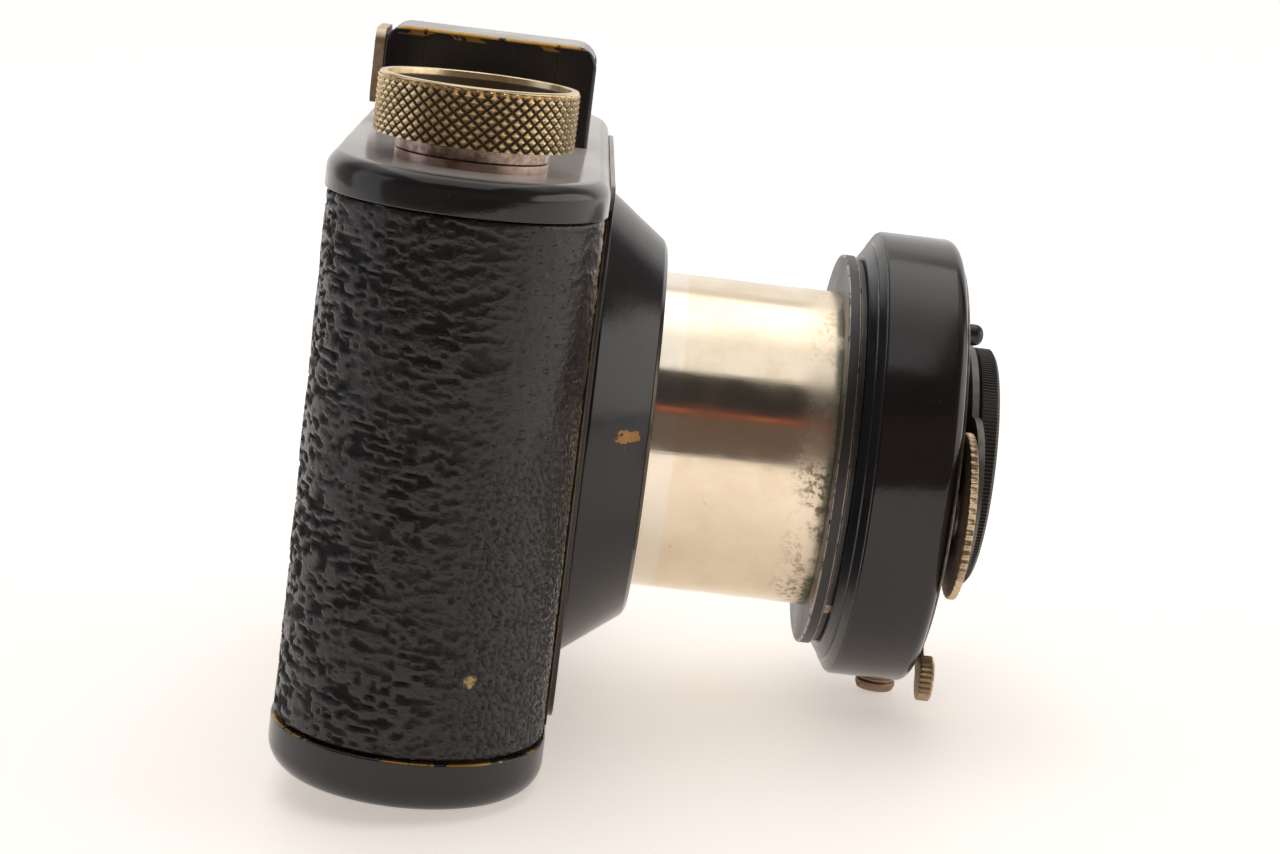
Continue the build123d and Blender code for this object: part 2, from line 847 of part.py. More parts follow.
cocking_half = cocking_pin_radius + slot_clearance
post_half = aperture_post_radius + slot_clearance
with BuildPart() as shutter_case:
    with BuildSketch(lens_plane(drum_back)):
        Circle(drum_radius)
    extrude(amount=drum_length)
    fillet(shutter_case.faces().sort_by(Axis.Y)[0].edges(), drum_edge_radius)
    with BuildSketch(lens_plane(drum_back)):
        Circle(inner_radius)
    extrude(amount=drum_length - drum_front_wall, mode=Mode.SUBTRACT)
    with BuildSketch(lens_plane(drum_back)):
        Circle(barrel_radius)
        arc_slot(slot_radius, cocking_half, cocking_angle - cocking_sweep, cocking_sweep)
        arc_slot(slot_radius, post_half, aperture_angle - aperture_sweep, aperture_sweep)
    extrude(amount=drum_length, mode=Mode.SUBTRACT)
    with BuildSketch(Plane(origin=(0, -socket_forward, 0))):
        Circle(socket_radius)
    extrude(amount=lens_height - drum_radius + socket_hole_rise, mode=Mode.SUBTRACT)
save(shutter_case, "shutter_case")

with BuildPart() as faceplate:
    with BuildSketch(lens_plane(drum_front)):
        Circle(faceplate_radius)
        Circle(barrel_radius, mode=Mode.SUBTRACT)
        arc_slot(slot_radius, cocking_half, cocking_angle - cocking_sweep, cocking_sweep, Mode.SUBTRACT)
        arc_slot(slot_radius, post_half, aperture_angle - aperture_sweep, aperture_sweep, Mode.SUBTRACT)
    extrude(amount=faceplate_thickness)
    # bosses under the dial and the release lever
    with BuildSketch(lens_plane(face_front)):
        with Locations(dial_centre):
            Circle(boss_radius)
        with Locations(lever_pivot):
            Circle(boss_radius)
    extrude(amount=boss_height)
save(faceplate, "faceplate")

with BuildPart() as cable_socket:
    with BuildSketch(Plane(origin=(0, -socket_forward, socket_low))):
        Circle(socket_radius)
        Circle(socket_bore, mode=Mode.SUBTRACT)
    extrude(amount=socket_length)
    chamfer(cable_socket.faces().sort_by(Axis.Z)[0].outer_wire().edges(), socket_edge)
save(cable_socket, "cable_socket")

with BuildPart() as flange_screw:
    with BuildSketch(lens_plane(flange_front)):
        with Locations(polar(flange_screw_distance, flange_screw_angle)):
            Circle(flange_screw_radius)
    extrude(amount=-flange_thickness)
    with Locations(flange_screw.faces().sort_by(Axis.Y)[-1].center_location):
        Box(4 * flange_screw_radius, 2 * flange_screw_slot, screw_slot_width, mode=Mode.SUBTRACT)
save(flange_screw, "flange_screw")

# ---------------------------------------------------------------- lens
drum_inner_face = drum_front - drum_front_wall
barrel_back = drum_inner_face - barrel_root
barrel_front = focus_front - barrel_setback
barrel_flange_radius = barrel_radius + barrel_flange_width
barrel_flange_back = drum_inner_face - barrel_flange_thickness
cell_front = focus_front - cell_setback
save(
    turned(
        [
            (barrel_radius - barrel_wall, barrel_back),
            (barrel_radius, barrel_back),
            (barrel_radius, barrel_flange_back),
            (barrel_flange_radius, barrel_flange_back),
            (barrel_flange_radius, drum_inner_face),
            (barrel_radius, drum_inner_face),
            (barrel_radius, barrel_front),
            (barrel_radius - barrel_wall, barrel_front),
        ]
    ),
    "front_barrel",
)
save(
    turned(
        [
            (glass_radius, cell_front - cell_length),
            (cell_radius, cell_front - cell_length),
            (cell_radius, cell_front),
            (glass_radius + cell_lip_width, cell_front),
            (glass_radius, cell_front - cell_lip_depth),
        ]
    ),
    "front_cell",
)


def face_middle(radius, rim, bulge):
    """Point halfway along a spherical face's section, from its axis to its rim."""
    sphere = (radius**2 + bulge**2) / (2 * bulge)
    half = asin(radius / sphere) / 2
    return (sphere * sin(half), rim + bulge - sphere * (1 - cos(half)))


def lens_element(radius, back, front, back_bulge, front_bulge):
    """Glass element about the lens axis; a positive bulge stands out past its rim."""
    with BuildPart() as piece:
        with BuildSketch(lens_profile):
            with BuildLine():
                back_crown = (0, back - back_bulge)
                front_crown = (0, front + front_bulge)
                Line(back_crown, front_crown)
                ThreePointArc(front_crown, face_middle(radius, front, front_bulge), (radius, front))
                Line((radius, front), (radius, back))
                ThreePointArc((radius, back), face_middle(radius, back, -back_bulge), back_crown)
            make_face()
        revolve(axis=lens_axis)
    return piece


save(
    lens_element(
        glass_radius,
        cell_front - front_glass_back,
        cell_front - front_glass_front,
        -front_glass_hollow,
        front_glass_bulge,
    ),
    "front_element",
)

rear_cell_back = flange_front - neck_length - rear_cell_tail
rear_glass_radius = neck_inside - rear_cell_wall
save(tube(neck_inside, rear_glass_radius, rear_cell_back, drum_back + rear_cell_reach), "rear_lens_cell")
save(
    lens_element(
        rear_glass_radius,
        rear_cell_back + rear_glass_back,
        rear_cell_back + rear_glass_front,
        rear_glass_back_bulge,
        rear_glass_front_bulge,
    ),
    "rear_element",
)

# ---------------------------------------------------------------- focusing ring
with BuildPart() as focusing_ring:
    with BuildSketch(lens_profile):
        with BuildLine():
            Polyline(
                (barrel_radius + running_clearance, focus_back),
                (focus_radius - focus_edge, focus_back),
                (focus_radius, focus_back + focus_edge),
                (focus_radius, focus_front - focus_edge),
                (focus_radius - focus_edge, focus_front),
                (barrel_radius + running_clearance, focus_front - focus_dish),
                close=True,
            )
        make_face()
    revolve(axis=lens_axis)
save(focusing_ring, "focusing_ring")

# ---------------------------------------------------------------- speed dial and its index plate
with BuildPart() as speed_dial:
    with BuildSketch(lens_plane(dial_back)):
        with Locations(dial_centre):
            Circle(dial_radius)
    extrude(amount=dial_thickness)
    chamfer(speed_dial.edges(), dial_edge)
    with BuildSketch(lens_plane(dial_back)):
        with Locations(dial_centre):
            Circle(dial_post_radius + running_clearance)
    extrude(amount=dial_thickness, mode=Mode.SUBTRACT)
save(speed_dial, "speed_dial")

with BuildPart() as pivot_screws:
    for centre in (dial_centre, lever_pivot):
        with BuildSketch(lens_plane(face_front + boss_height)):
            with Locations(centre):
                Circle(dial_post_radius)
        extrude(amount=dial_thickness + turning_clearance)
    with BuildSketch(lens_plane(dial_front)):
        with Locations(lever_pivot):
            Circle(dial_post_radius + pivot_head_lip)
    extrude(amount=pivot_head_height)
save(pivot_screws, "pivot_screws")

with BuildPart() as index_plate:
    with BuildSketch(lens_plane(index_back)):
        Circle(focus_radius + index_margin)
        with Locations(polar(index_offset, dial_angle)):
            Circle(dial_radius)
        Circle(barrel_radius, mode=Mode.SUBTRACT)
    extrude(amount=index_thickness)
save(index_plate, "index_plate")

# ---------------------------------------------------------------- levers and shutter works
def bar(start, end, width):
    """Round-ended bar in the sketch being built."""
    with BuildLine() as path:
        Line(start, end)
    return SlotArc(path.wire(), width)


lever_tip = polar(lever_reach, lever_angle)
with BuildPart() as release_lever:
    with BuildSketch(lens_plane(face_front + boss_height)):
        with Locations(lever_pivot):
            Circle(dial_post_radius + lever_eye)
        bar(lever_pivot, lever_tip, lever_width)
        with Locations(lever_tip):
            Circle(lever_pad_radius)
        with Locations(lever_pivot):
            Circle(dial_post_radius + running_clearance, mode=Mode.SUBTRACT)
    extrude(amount=lever_thickness)
    with BuildSketch(lens_plane(face_front + boss_height + lever_thickness)):
        with Locations(lever_tip):
            Circle(lever_pad_radius)
    extrude(amount=lever_pad_height)
save(release_lever, "release_lever")

cocking_back = barrel_back + cocking_gap
with BuildPart() as cocking_lever:
    with BuildSketch(lens_plane(cocking_back)):
        Circle(barrel_radius + cocking_collar)
        bar((0, 0), polar(slot_radius, cocking_angle), cocking_width)
        Circle(barrel_radius + turning_clearance, mode=Mode.SUBTRACT)
    extrude(amount=lever_thickness)
save(cocking_lever, "cocking_lever")

with BuildPart() as cocking_pin:
    with BuildSketch(lens_plane(cocking_back + lever_thickness)):
        with Locations(polar(slot_radius, cocking_angle)):
            Circle(cocking_pin_radius)
    extrude(amount=cocking_pin_front - cocking_back - lever_thickness)
    fillet(cocking_pin.faces().sort_by(Axis.Y)[0].edges(), cocking_pin_radius - cocking_pin_flat)
save(cocking_pin, "cocking_pin")

with BuildPart() as shutter_plate:
    with BuildSketch(lens_plane(plate_forward)):
        Circle(inner_radius)
        Circle(works_radius, mode=Mode.SUBTRACT)
    extrude(amount=works_plate)
    # blade pivots to the back, iris pivots to the front
    with BuildSketch(lens_plane(plate_forward)):
        with PolarLocations(blade_pivot_distance, blade_count):
            Circle(blade_pivot_radius)
    extrude(amount=-blade_count * leaf_pitch - driver_space)
    with BuildSketch(lens_plane(plate_forward + works_plate)):
        with PolarLocations(iris_pivot_distance, iris_count):
            Circle(iris_pivot_radius)
    extrude(amount=iris_count * leaf_pitch)
save(shutter_plate, "shutter_plate")

save(
    tube(
        driver_radius + driver_width,
        driver_radius,
        plate_forward - driver_space + turning_clearance,
        plate_forward - leaf_pitch,
    ),
    "blade_driver",
)

for number in range(blade_count):
    with BuildPart() as shutter_blade:
        blade_back = plate_forward - driver_space - (number + 1) * leaf_pitch
        turn = number * 360 / blade_count
        with BuildSketch(lens_plane(blade_back)):
            with BuildLine():
                heel = polar(blade_heel, turn + 180)
                left = polar(blade_radius, turn + blade_half_angle)
                middle = polar(blade_radius, turn)
                right = polar(blade_radius, turn - blade_half_angle)
                Line(heel, left)
                ThreePointArc(left, middle, right)
                Line(right, heel)
            make_face()
            pivot_point = polar(blade_pivot_distance, turn)
            bar(middle, pivot_point, blade_arm_width)
            with Locations(pivot_point):
                Circle(blade_pivot_radius + running_clearance, mode=Mode.SUBTRACT)
        extrude(amount=leaf_thickness)
    save(shutter_blade, f"shutter_blade_{number + 1}")

for number in range(iris_count):
    with BuildPart() as iris_leaf:
        turn = number * 360 / iris_count
        with BuildSketch(lens_plane(plate_forward + works_plate + running_clearance + number * leaf_pitch)):
            arc_slot(iris_distance, iris_half_width, turn, iris_span)
            bar(polar(iris_distance, turn), polar(iris_pivot_distance, turn), iris_arm_width)
            with Locations(polar(iris_pivot_distance, turn)):
                Circle(iris_pivot_radius + running_clearance, mode=Mode.SUBTRACT)
        extrude(amount=leaf_thickness)
    save(iris_leaf, f"iris_leaf_{number + 1}")

iris_front = plate_forward + works_plate + (iris_count + 1) * leaf_pitch
pointer_back = face_front + pointer_gap
pointer_start = polar(slot_radius - pointer_tail, aperture_angle)
pointer_end = polar(slot_radius + pointer_tip, aperture_angle)
with BuildPart() as aperture_ring:
    with BuildSketch(lens_plane(iris_front)):
        Circle(barrel_radius + aperture_collar)
        bar((0, 0), polar(slot_radius, aperture_angle), aperture_width)
        Circle(works_radius, mode=Mode.SUBTRACT)
    extrude(amount=works_plate)
    with BuildSketch(lens_plane(iris_front + works_plate)):
        with Locations(polar(slot_radius, aperture_angle)):
            Circle(aperture_post_radius)
    extrude(amount=pointer_back - iris_front - works_plate)
    with BuildSketch(lens_plane(pointer_back)):
        bar(pointer_start, pointer_end, pointer_width)
    extrude(amount=lever_thickness)
save(aperture_ring, "aperture_ring")
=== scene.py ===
from math import atan2, cos, hypot, pi, radians, sin, tan

import bmesh
import bpy
import numpy as np
from mathutils import Matrix, Vector


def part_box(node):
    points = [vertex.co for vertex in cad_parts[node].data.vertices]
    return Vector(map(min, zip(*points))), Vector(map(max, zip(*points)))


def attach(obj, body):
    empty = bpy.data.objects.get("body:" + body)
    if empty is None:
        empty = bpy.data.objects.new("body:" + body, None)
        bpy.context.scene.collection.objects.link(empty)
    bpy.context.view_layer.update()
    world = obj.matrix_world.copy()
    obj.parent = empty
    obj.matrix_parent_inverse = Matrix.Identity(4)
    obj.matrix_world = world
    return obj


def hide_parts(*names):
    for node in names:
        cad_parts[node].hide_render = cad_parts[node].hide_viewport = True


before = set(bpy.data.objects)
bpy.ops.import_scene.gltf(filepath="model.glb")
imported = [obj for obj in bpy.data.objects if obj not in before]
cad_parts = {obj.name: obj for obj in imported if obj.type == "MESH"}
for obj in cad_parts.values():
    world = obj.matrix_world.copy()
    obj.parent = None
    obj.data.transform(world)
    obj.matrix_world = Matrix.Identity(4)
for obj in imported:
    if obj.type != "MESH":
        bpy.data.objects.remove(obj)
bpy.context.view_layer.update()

MM = 0.001
FINE = 256              # steps round a large turned piece
LEAN = radians(7.011)   # the extended lens tips the camera forward onto its cable-release socket
UP = Vector((0, sin(LEAN), cos(LEAN)))

# Sizes inside a node, which its box doesn't give
CAP_SKIN = 1.2 * MM
TOP_ROUND = 1.7 * MM
BOTTOM_ROUND = 2.8 * MM
WELL_RADIUS = 3.35 * MM     # hole for the winding shaft
PLATE_CORNER = 4.2 * MM
PLATE_BEND = 0.15 * MM
COLLAR_BORE = 18.75 * MM
COLLAR_NOSE = 20.2 * MM
COLLAR_MOUTH = 17.15 * MM
TUBE_RADIUS = 16.85 * MM
TUBE_WALL = 0.85 * MM
FLANGE_STEP = 0.7 * MM
NECK_RADIUS = 12.35 * MM
DRUM_WALL = 1.1 * MM
DRUM_MOUTH = 21.5 * MM
BARREL_RADIUS = 9.85 * MM
HUB_HEIGHT = 1.25 * MM
HUB_RADIUS = 7.25 * MM
EYE_RADIUS = 1.47 * MM
LEATHER_EDGE = 29.7         # millimetres from the middle, beside the front plate


# ---- places read from the frame
def middle(node):
    low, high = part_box(node)
    return [(a + b) / 2 for a, b in zip(low, high)]


def span(node):
    """A turned lens part's (radius, back, front), the last two counted forward from the body's middle."""
    low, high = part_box(node)
    return (high[0] - low[0]) / 2, -high[1], -low[1]


def heights(node):
    low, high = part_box(node)
    return low[2], high[2]


def facing_front(x, z):
    """Placing of (across, up, forward) about an axis that runs forward through x and z."""
    return lambda u, v, w: (x + u, -w, z + v)


def standing(x, y=0.0):
    """Placing of (across, back, up) about an upright axis through x and y."""
    return lambda u, v, w: (x + u, y + v, w)


lens_z = middle("lens_tube")[2]
knob_x = middle("knob_base_ring")[0]
end_x = -knob_x
on_lens = facing_front(0, lens_z)


# ---- outlines, profiles and sweeps
def circle(steps=FINE, wave=lambda angle: 0.0):
    """Outline of a circle; wave(angle) is added to its radius."""
    angles = [2 * pi * i / steps for i in range(steps)]

    def ring(radius):
        return [((radius + wave(a)) * cos(a), (radius + wave(a)) * sin(a)) for a in angles]

    return ring


def phase(angle, count):
    """0 in the middle of each of the notches round a circle, 1 midway between two of them."""
    return abs((angle * count / (2 * pi)) % 1.0 - 0.5) * 2


def stadium(steps=96, straight=24):
    """Outline of the round-ended body at a given half depth."""

    def ring(half):
        points = []
        for side, start in ((1, -pi / 2), (-1, pi / 2)):
            for i in range(steps + 1):
                a = start + pi * i / steps
                points.append((side * end_x + half * cos(a), half * sin(a)))
            for i in range(1, straight):
                points.append((side * end_x * (1 - 2 * i / straight), side * half))
        return points

    return ring


def rounded_box(width, height, corner, steps=12):
    """Outline of a rounded rectangle, drawn in by a given inset."""

    def ring(inset):
        points = []
        for sx, sy, start in ((1, 1, 0), (-1, 1, pi / 2), (-1, -1, pi), (1, -1, 3 * pi / 2)):
            for i in range(steps + 1):
                a = start + pi / 2 * i / steps
                points.append((sx * (width / 2 - corner) + (corner - inset) * cos(a),
                               sy * (height / 2 - corner) + (corner - inset) * sin(a)))
        return points

    return ring


def eased(corners, steps=5):
    """Open profile with each corner (offset, height, radius) rounded by its own radius."""
    points = []
    last = len(corners) - 1
    for i, (x, y, radius) in enumerate(corners):
        here = Vector((x, y))
        if radius <= 0 or i in (0, last):
            points.append((x, y))
            continue
        back = (Vector(corners[i - 1][:2]) - here).normalized()
        ahead = (Vector(corners[i + 1][:2]) - here).normalized()
        half = back.angle(ahead) / 2
        reach = radius / tan(half)
        centre = here + (back + ahead).normalized() * (radius / sin(half))
        start = here + back * reach - centre
        stop = here + ahead * reach - centre
        turn = start.angle_signed(stop)
        for k in range(steps + 1):
            a = -turn * k / steps
            points.append((centre.x + start.x * cos(a) - start.y * sin(a),
                           centre.y + start.x * sin(a) + start.y * cos(a)))
    return points


def skin(bm, rings, closed=False):
    """Faces between each ring of vertices and the next, and back to the first where closed."""
    for low, high in zip(rings, rings[1:] + (rings[:1] if closed else [])):
        for i in range(len(low)):
            j = (i + 1) % len(low)
            bm.faces.new((low[i], low[j], high[j], high[i]))
    return rings


def layered(bm, layers, place, closed=True):
    """Skins layers, each an outline with its own offset and place along, and gives back its rings."""
    rings = [[bm.verts.new(place(u, v, along)) for u, v in ring(offset)] for ring, offset, along in layers]
    return skin(bm, rings, closed)


def sweep(bm, ring, profile, place, closed=False):
    """Skins a profile of (offset, along) points round one outline."""
    return layered(bm, [(ring, offset, along) for offset, along in profile], place, closed)


def loop_edges(bm, ring):
    return [bm.edges.get((a, ring[(i + 1) % len(ring)])) for i, a in enumerate(ring)]


def fill(bm, *rings):
    """Flat faces inside the first ring and outside the others."""
    edges = [e for ring in rings for e in loop_edges(bm, ring)]
    bmesh.ops.triangle_fill(bm, use_beauty=True, use_dissolve=False, edges=edges)


def mesh_object(name, bm, finish):
    bmesh.ops.recalc_face_normals(bm, faces=bm.faces)
    mesh = bpy.data.meshes.new(name)
    bm.to_mesh(mesh)
    bm.free()
    mesh.materials.append(finish.material)
    obj = bpy.data.objects.new(name, mesh)
    bpy.context.scene.collection.objects.link(obj)
    return obj


def piece(name, bm, finish, body, node, sharp=32):
    """Turns the mesh into an object that rides on a body and stands for a CAD node."""
    obj = mesh_object(name, bm, finish)
    obj.data.shade_smooth()
    obj.data.set_sharp_from_angle(angle=radians(sharp))
    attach(obj, body)
    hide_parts(node)


def turned(name, corners, finish, body, node, place=on_lens, steps=FINE):
    """Closed ring or tube turned from (radius, along, rounding) corners."""
    bm = bmesh.new()
    sweep(bm, circle(steps), eased([*corners, corners[0]])[:-1], place, closed=True)
    piece(name, bm, finish, body, node)


# ---- material nodes
class Finish:
    """A procedural material, built up node by node on coordinates in metres."""

    def __init__(self, name):
        self.material = bpy.data.materials.new(name)
        self.material.use_nodes = True
        self.tree = self.material.node_tree
        self.shader = self.tree.nodes["Principled BSDF"]
        self.spot = self.add("ShaderNodeTexCoord").outputs["Object"]

    def add(self, kind, **settings):
        node = self.tree.nodes.new(kind)
        for key, value in settings.items():
            setattr(node, key, value)
        return node

    def wire(self, value, socket):
        if isinstance(value, bpy.types.NodeSocket):
            self.tree.links.new(value, socket)
        elif isinstance(value, (tuple, list)) and len(value) == 3 and len(socket.default_value) == 4:
            socket.default_value = (*value, 1)
        else:
            socket.default_value = value

    def set(self, **sockets):
        for key, value in sockets.items():
            self.wire(value, self.shader.inputs[key.replace("_", " ")])

    def math(self, operation, a, b=0.0):
        node = self.add("ShaderNodeMath", operation=operation)
        self.wire(a, node.inputs[0])
        self.wire(b, node.inputs[1])
        return node.outputs[0]

    def vector(self, operation, a, b=(0, 0, 0)):
        node = self.add("ShaderNodeVectorMath", operation=operation)
        self.wire(a, node.inputs[0])
        self.wire(b, node.inputs[1])
        return node.outputs["Value" if operation in ("DOT_PRODUCT", "LENGTH", "DISTANCE") else "Vector"]

    def stretch(self, x=1.0, y=1.0, z=1.0):
        """Coordinates scaled along each axis."""
        return self.vector("MULTIPLY", self.spot, (x, y, z))

    def axis(self, name, spot=None):
        node = self.add("ShaderNodeSeparateXYZ")
        self.wire(spot or self.spot, node.inputs[0])
        return node.outputs[name]

    def forward(self):
        return self.times(self.axis("Y"), -1.0)

    def noise(self, size, detail=3.0, rough=0.55, spot=None, twist=0.0):
        """Noise with features of about that size, in metres."""
        node = self.add("ShaderNodeTexNoise")
        self.wire(spot or self.spot, node.inputs["Vector"])
        node.inputs["Scale"].default_value = 1 / size
        node.inputs["Detail"].default_value = detail
        node.inputs["Roughness"].default_value = rough
        node.inputs["Distortion"].default_value = twist
        return node.outputs["Fac"]

    def cells(self, size):
        node = self.add("ShaderNodeTexVoronoi", feature="F1")
        self.wire(self.spot, node.inputs["Vector"])
        node.inputs["Scale"].default_value = 1 / size
        return node.outputs["Distance"]

    def ease(self, value, low, high, bottom=0.0, top=1.0):
        """Smooth step of a value from low to high."""
        node = self.add("ShaderNodeMapRange", interpolation_type="SMOOTHSTEP")
        for i, v in enumerate((value, low, high, bottom, top)):
            self.wire(v, node.inputs[i])
        return node.outputs[0]

    def blend(self, factor, a, b):
        node = self.add("ShaderNodeMix", data_type="RGBA")
        self.wire(factor, node.inputs[0])
        self.wire(a, node.inputs[6])
        self.wire(b, node.inputs[7])
        return node.outputs[2]

    def between(self, factor, a, b):
        node = self.add("ShaderNodeMix", data_type="FLOAT")
        self.wire(factor, node.inputs[0])
        self.wire(a, node.inputs[2])
        self.wire(b, node.inputs[3])
        return node.outputs[0]

    def chain(self, operation, total, *values):
        for value in values:
            total = self.math(operation, total, value)
        return total

    def times(self, *values):
        return self.chain("MULTIPLY", *values)

    def plus(self, *values):
        return self.chain("ADD", *values)

    def most(self, *values):
        return self.chain("MAXIMUM", *values)

    def less(self, a, b):
        return self.math("SUBTRACT", a, b)

    def near(self, axis_value, place, reach, soft):
        """1 within reach of a place along an axis, fading out over soft."""
        gap = self.math("ABSOLUTE", self.less(axis_value, place))
        return self.ease(gap, reach + soft, reach)

    def edges(self, radius):
        """0 on open faces, rising on outer edges and corners."""
        rounded = self.add("ShaderNodeBevel", samples=6)
        rounded.inputs["Radius"].default_value = radius
        flat = self.add("ShaderNodeNewGeometry").outputs["Normal"]
        return self.less(1.0, self.vector("DOT_PRODUCT", rounded.outputs[0], flat))

    def colour(self):
        """The colour that the shader has so far."""
        return self.shader.inputs["Base Color"].links[0].from_socket

    def bump(self, height, distance, strength=1.0):
        node = self.add("ShaderNodeBump")
        node.inputs["Strength"].default_value = strength
        node.inputs["Distance"].default_value = distance
        self.wire(height, node.inputs["Height"])
        return node.outputs[0]


BRASS = (0.62, 0.36, 0.09)
GRIME = (0.035, 0.022, 0.012)


def enamel(name, base=(0.011, 0.010, 0.0105), wear=0.5, worn=BRASS, rough=0.13, reach=0.35, patches=None):
    """Glossy baked enamel: orange peel, dust, hairline scratches, and metal showing along worn edges."""
    f = Finish(name)
    broad = f.noise(9 * MM, 3)
    grit = f.noise(0.55 * MM, 4, 0.65)
    ragged = f.noise(1.6 * MM, 5, 0.7)
    bare = f.ease(f.plus(f.edges(reach * MM), f.times(f.less(ragged, 0.5), 0.5)),
                  0.30 - 0.22 * wear, 0.36 - 0.22 * wear)
    if patches:
        bare = f.most(bare, patches(f))
    dust = f.ease(f.noise(0.22 * MM, 2), 0.70, 0.78)
    colour = f.blend(broad, base, tuple(1.5 * c for c in base))
    colour = f.blend(f.times(dust, 0.35), colour, (0.16, 0.13, 0.10))
    colour = f.blend(bare, colour, f.blend(grit, tuple(0.45 * c for c in worn), worn))
    scratch = f.ease(f.noise(0.16 * MM, 2, 0.5, f.stretch(1, 0.06, 1), 0.4), 0.70, 0.78)
    f.set(
        Base_Color=colour,
        Metallic=f.times(bare, 0.9),
        Roughness=f.plus(f.between(bare, f.ease(broad, 0.3, 0.75, rough, rough + 0.12), 0.36),
                         f.times(dust, 0.3)),
        Normal=f.bump(f.plus(f.times(f.noise(1.3 * MM, 2), 0.8),
                             f.less(f.times(grit, 0.25), f.plus(f.times(scratch, 0.35), bare))),
                      0.02 * MM, 0.8),
    )
    return f


def metal(name, colour, rough=0.3, tarnish=(0.20, 0.15, 0.11), amount=0.5, grain=None, dirt=None, pits=0.3):
    """Aged plated metal: tarnish clouds, fine brushing, pits, and dirt where a mask says."""
    f = Finish(name)
    cloud = f.ease(f.noise(3.2 * MM, 5, 0.6), 0.62 - 0.22 * amount, 0.86 - 0.22 * amount)
    speck = f.ease(f.noise(0.32 * MM, 3, 0.6), 0.66, 0.74)
    brushed = f.noise(0.14 * MM, 3, 0.6, f.stretch(*(grain or (1, 1, 1))))
    shade = f.blend(cloud, colour, tarnish)
    shade = f.blend(f.times(speck, pits), shade, GRIME)
    metallic = f.less(1.0, f.times(cloud, 0.25))
    roughness = f.plus(f.between(cloud, rough, rough + 0.2), f.times(brushed, 0.12))
    if dirt:
        mask = dirt(f)
        shade = f.blend(mask, shade, GRIME)
        metallic = f.times(metallic, f.less(1.0, f.times(mask, 0.8)))
        roughness = f.plus(roughness, f.times(mask, 0.3))
    f.set(
        Base_Color=shade,
        Metallic=metallic,
        Roughness=roughness,
        Normal=f.bump(f.less(f.times(brushed, 0.5), f.times(speck, pits)),
                      0.012 * MM, 0.7),
    )
    return f


# ---- the finishes
def finder_patches(f):
    """Brass along the finder's top edges: a thin line, widening here and there into blotches."""
    top = heights("finder_housing")[1]
    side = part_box("finder_housing")[1][0]
    across = f.math("ABSOLUTE", f.axis("X"))
    line = f.times(f.ease(f.axis("Z"), top - 0.42 * MM, top - 0.26 * MM),
                   f.ease(across, side - 0.46 * MM, side - 0.34 * MM),
                   f.ease(f.noise(1.5 * MM, 3), 0.34, 0.40))
    blotch = f.times(f.ease(f.axis("Z"), top - 0.95 * MM, top - 0.70 * MM),
                     f.ease(across, side - 0.9 * MM, side - 0.6 * MM),
                     f.ease(f.noise(2.4 * MM, 4, 0.6, f.stretch(1, 0.5, 1)), 0.54, 0.57))
    return f.most(line, blotch)


def cap_rim_patches(f):
    """Brass along the bottom cap's upper rim, in dashes."""
    top = heights("bottom_cap")[1]
    rim = f.ease(f.axis("Z"), top - 0.20 * MM, top - 0.11 * MM)
    dash = f.ease(f.noise(4.5 * MM, 5, 0.72, f.stretch(1, 1, 0.3)), 0.51, 0.55)
    return f.times(rim, dash)


def collar_patches(f):
    """One ragged chip of bare brass on the collar's near side."""
    radius = span("lens_collar")[0]
    away = f.vector("SUBTRACT", f.spot, (-0.88 * radius, -18.1 * MM, lens_z + 2.9 * MM))
    away = f.vector("LENGTH", f.vector("MULTIPLY", away, (0.2, 0.75, 1.25)))
    ragged = f.times(f.less(f.noise(1.1 * MM, 4, 0.65), 0.5), 3.0 * MM)
    return f.ease(f.plus(away, ragged), 0.88 * MM, 0.76 * MM)


def flange_patches(f):
    """Bare metal along the flange's two outer edges."""
    radius, back, front = span("tube_flange")
    forward = f.forward()
    away = f.vector("SUBTRACT", f.spot, (0, 0, lens_z))
    from_axis = f.vector("LENGTH", f.vector("MULTIPLY", away, (1, 0, 1)))
    lines = f.most(f.near(forward, back, 0.15 * MM, 0.05 * MM),
                   f.near(forward, front - FLANGE_STEP, 0.13 * MM, 0.05 * MM))
    return f.times(f.ease(from_axis, radius - 0.30 * MM, radius - 0.16 * MM), lines,
                   f.ease(f.noise(1.4 * MM, 4, 0.65), 0.38, 0.50))


def dust_and_top_glare(f, amount):
    """Settled dust on the faces that look upward, laid on pale enough that it also paints in the glare those
    tops catch: partly real dust, partly painted highlight.
    """
    facing = f.axis("Z", f.add("ShaderNodeTexCoord").outputs["Normal"])
    # Partly painted highlight: the pale film on upward faces also stands in for the glare on the tops
    dust_and_glare = f.times(f.ease(facing, 0.90, 0.995), f.ease(f.noise(3 * MM, 4), 0.2, 0.5, 0.7, 1.0), amount)
    f.set(Base_Color=f.blend(dust_and_glare, f.colour(), (0.60, 0.56, 0.53)))


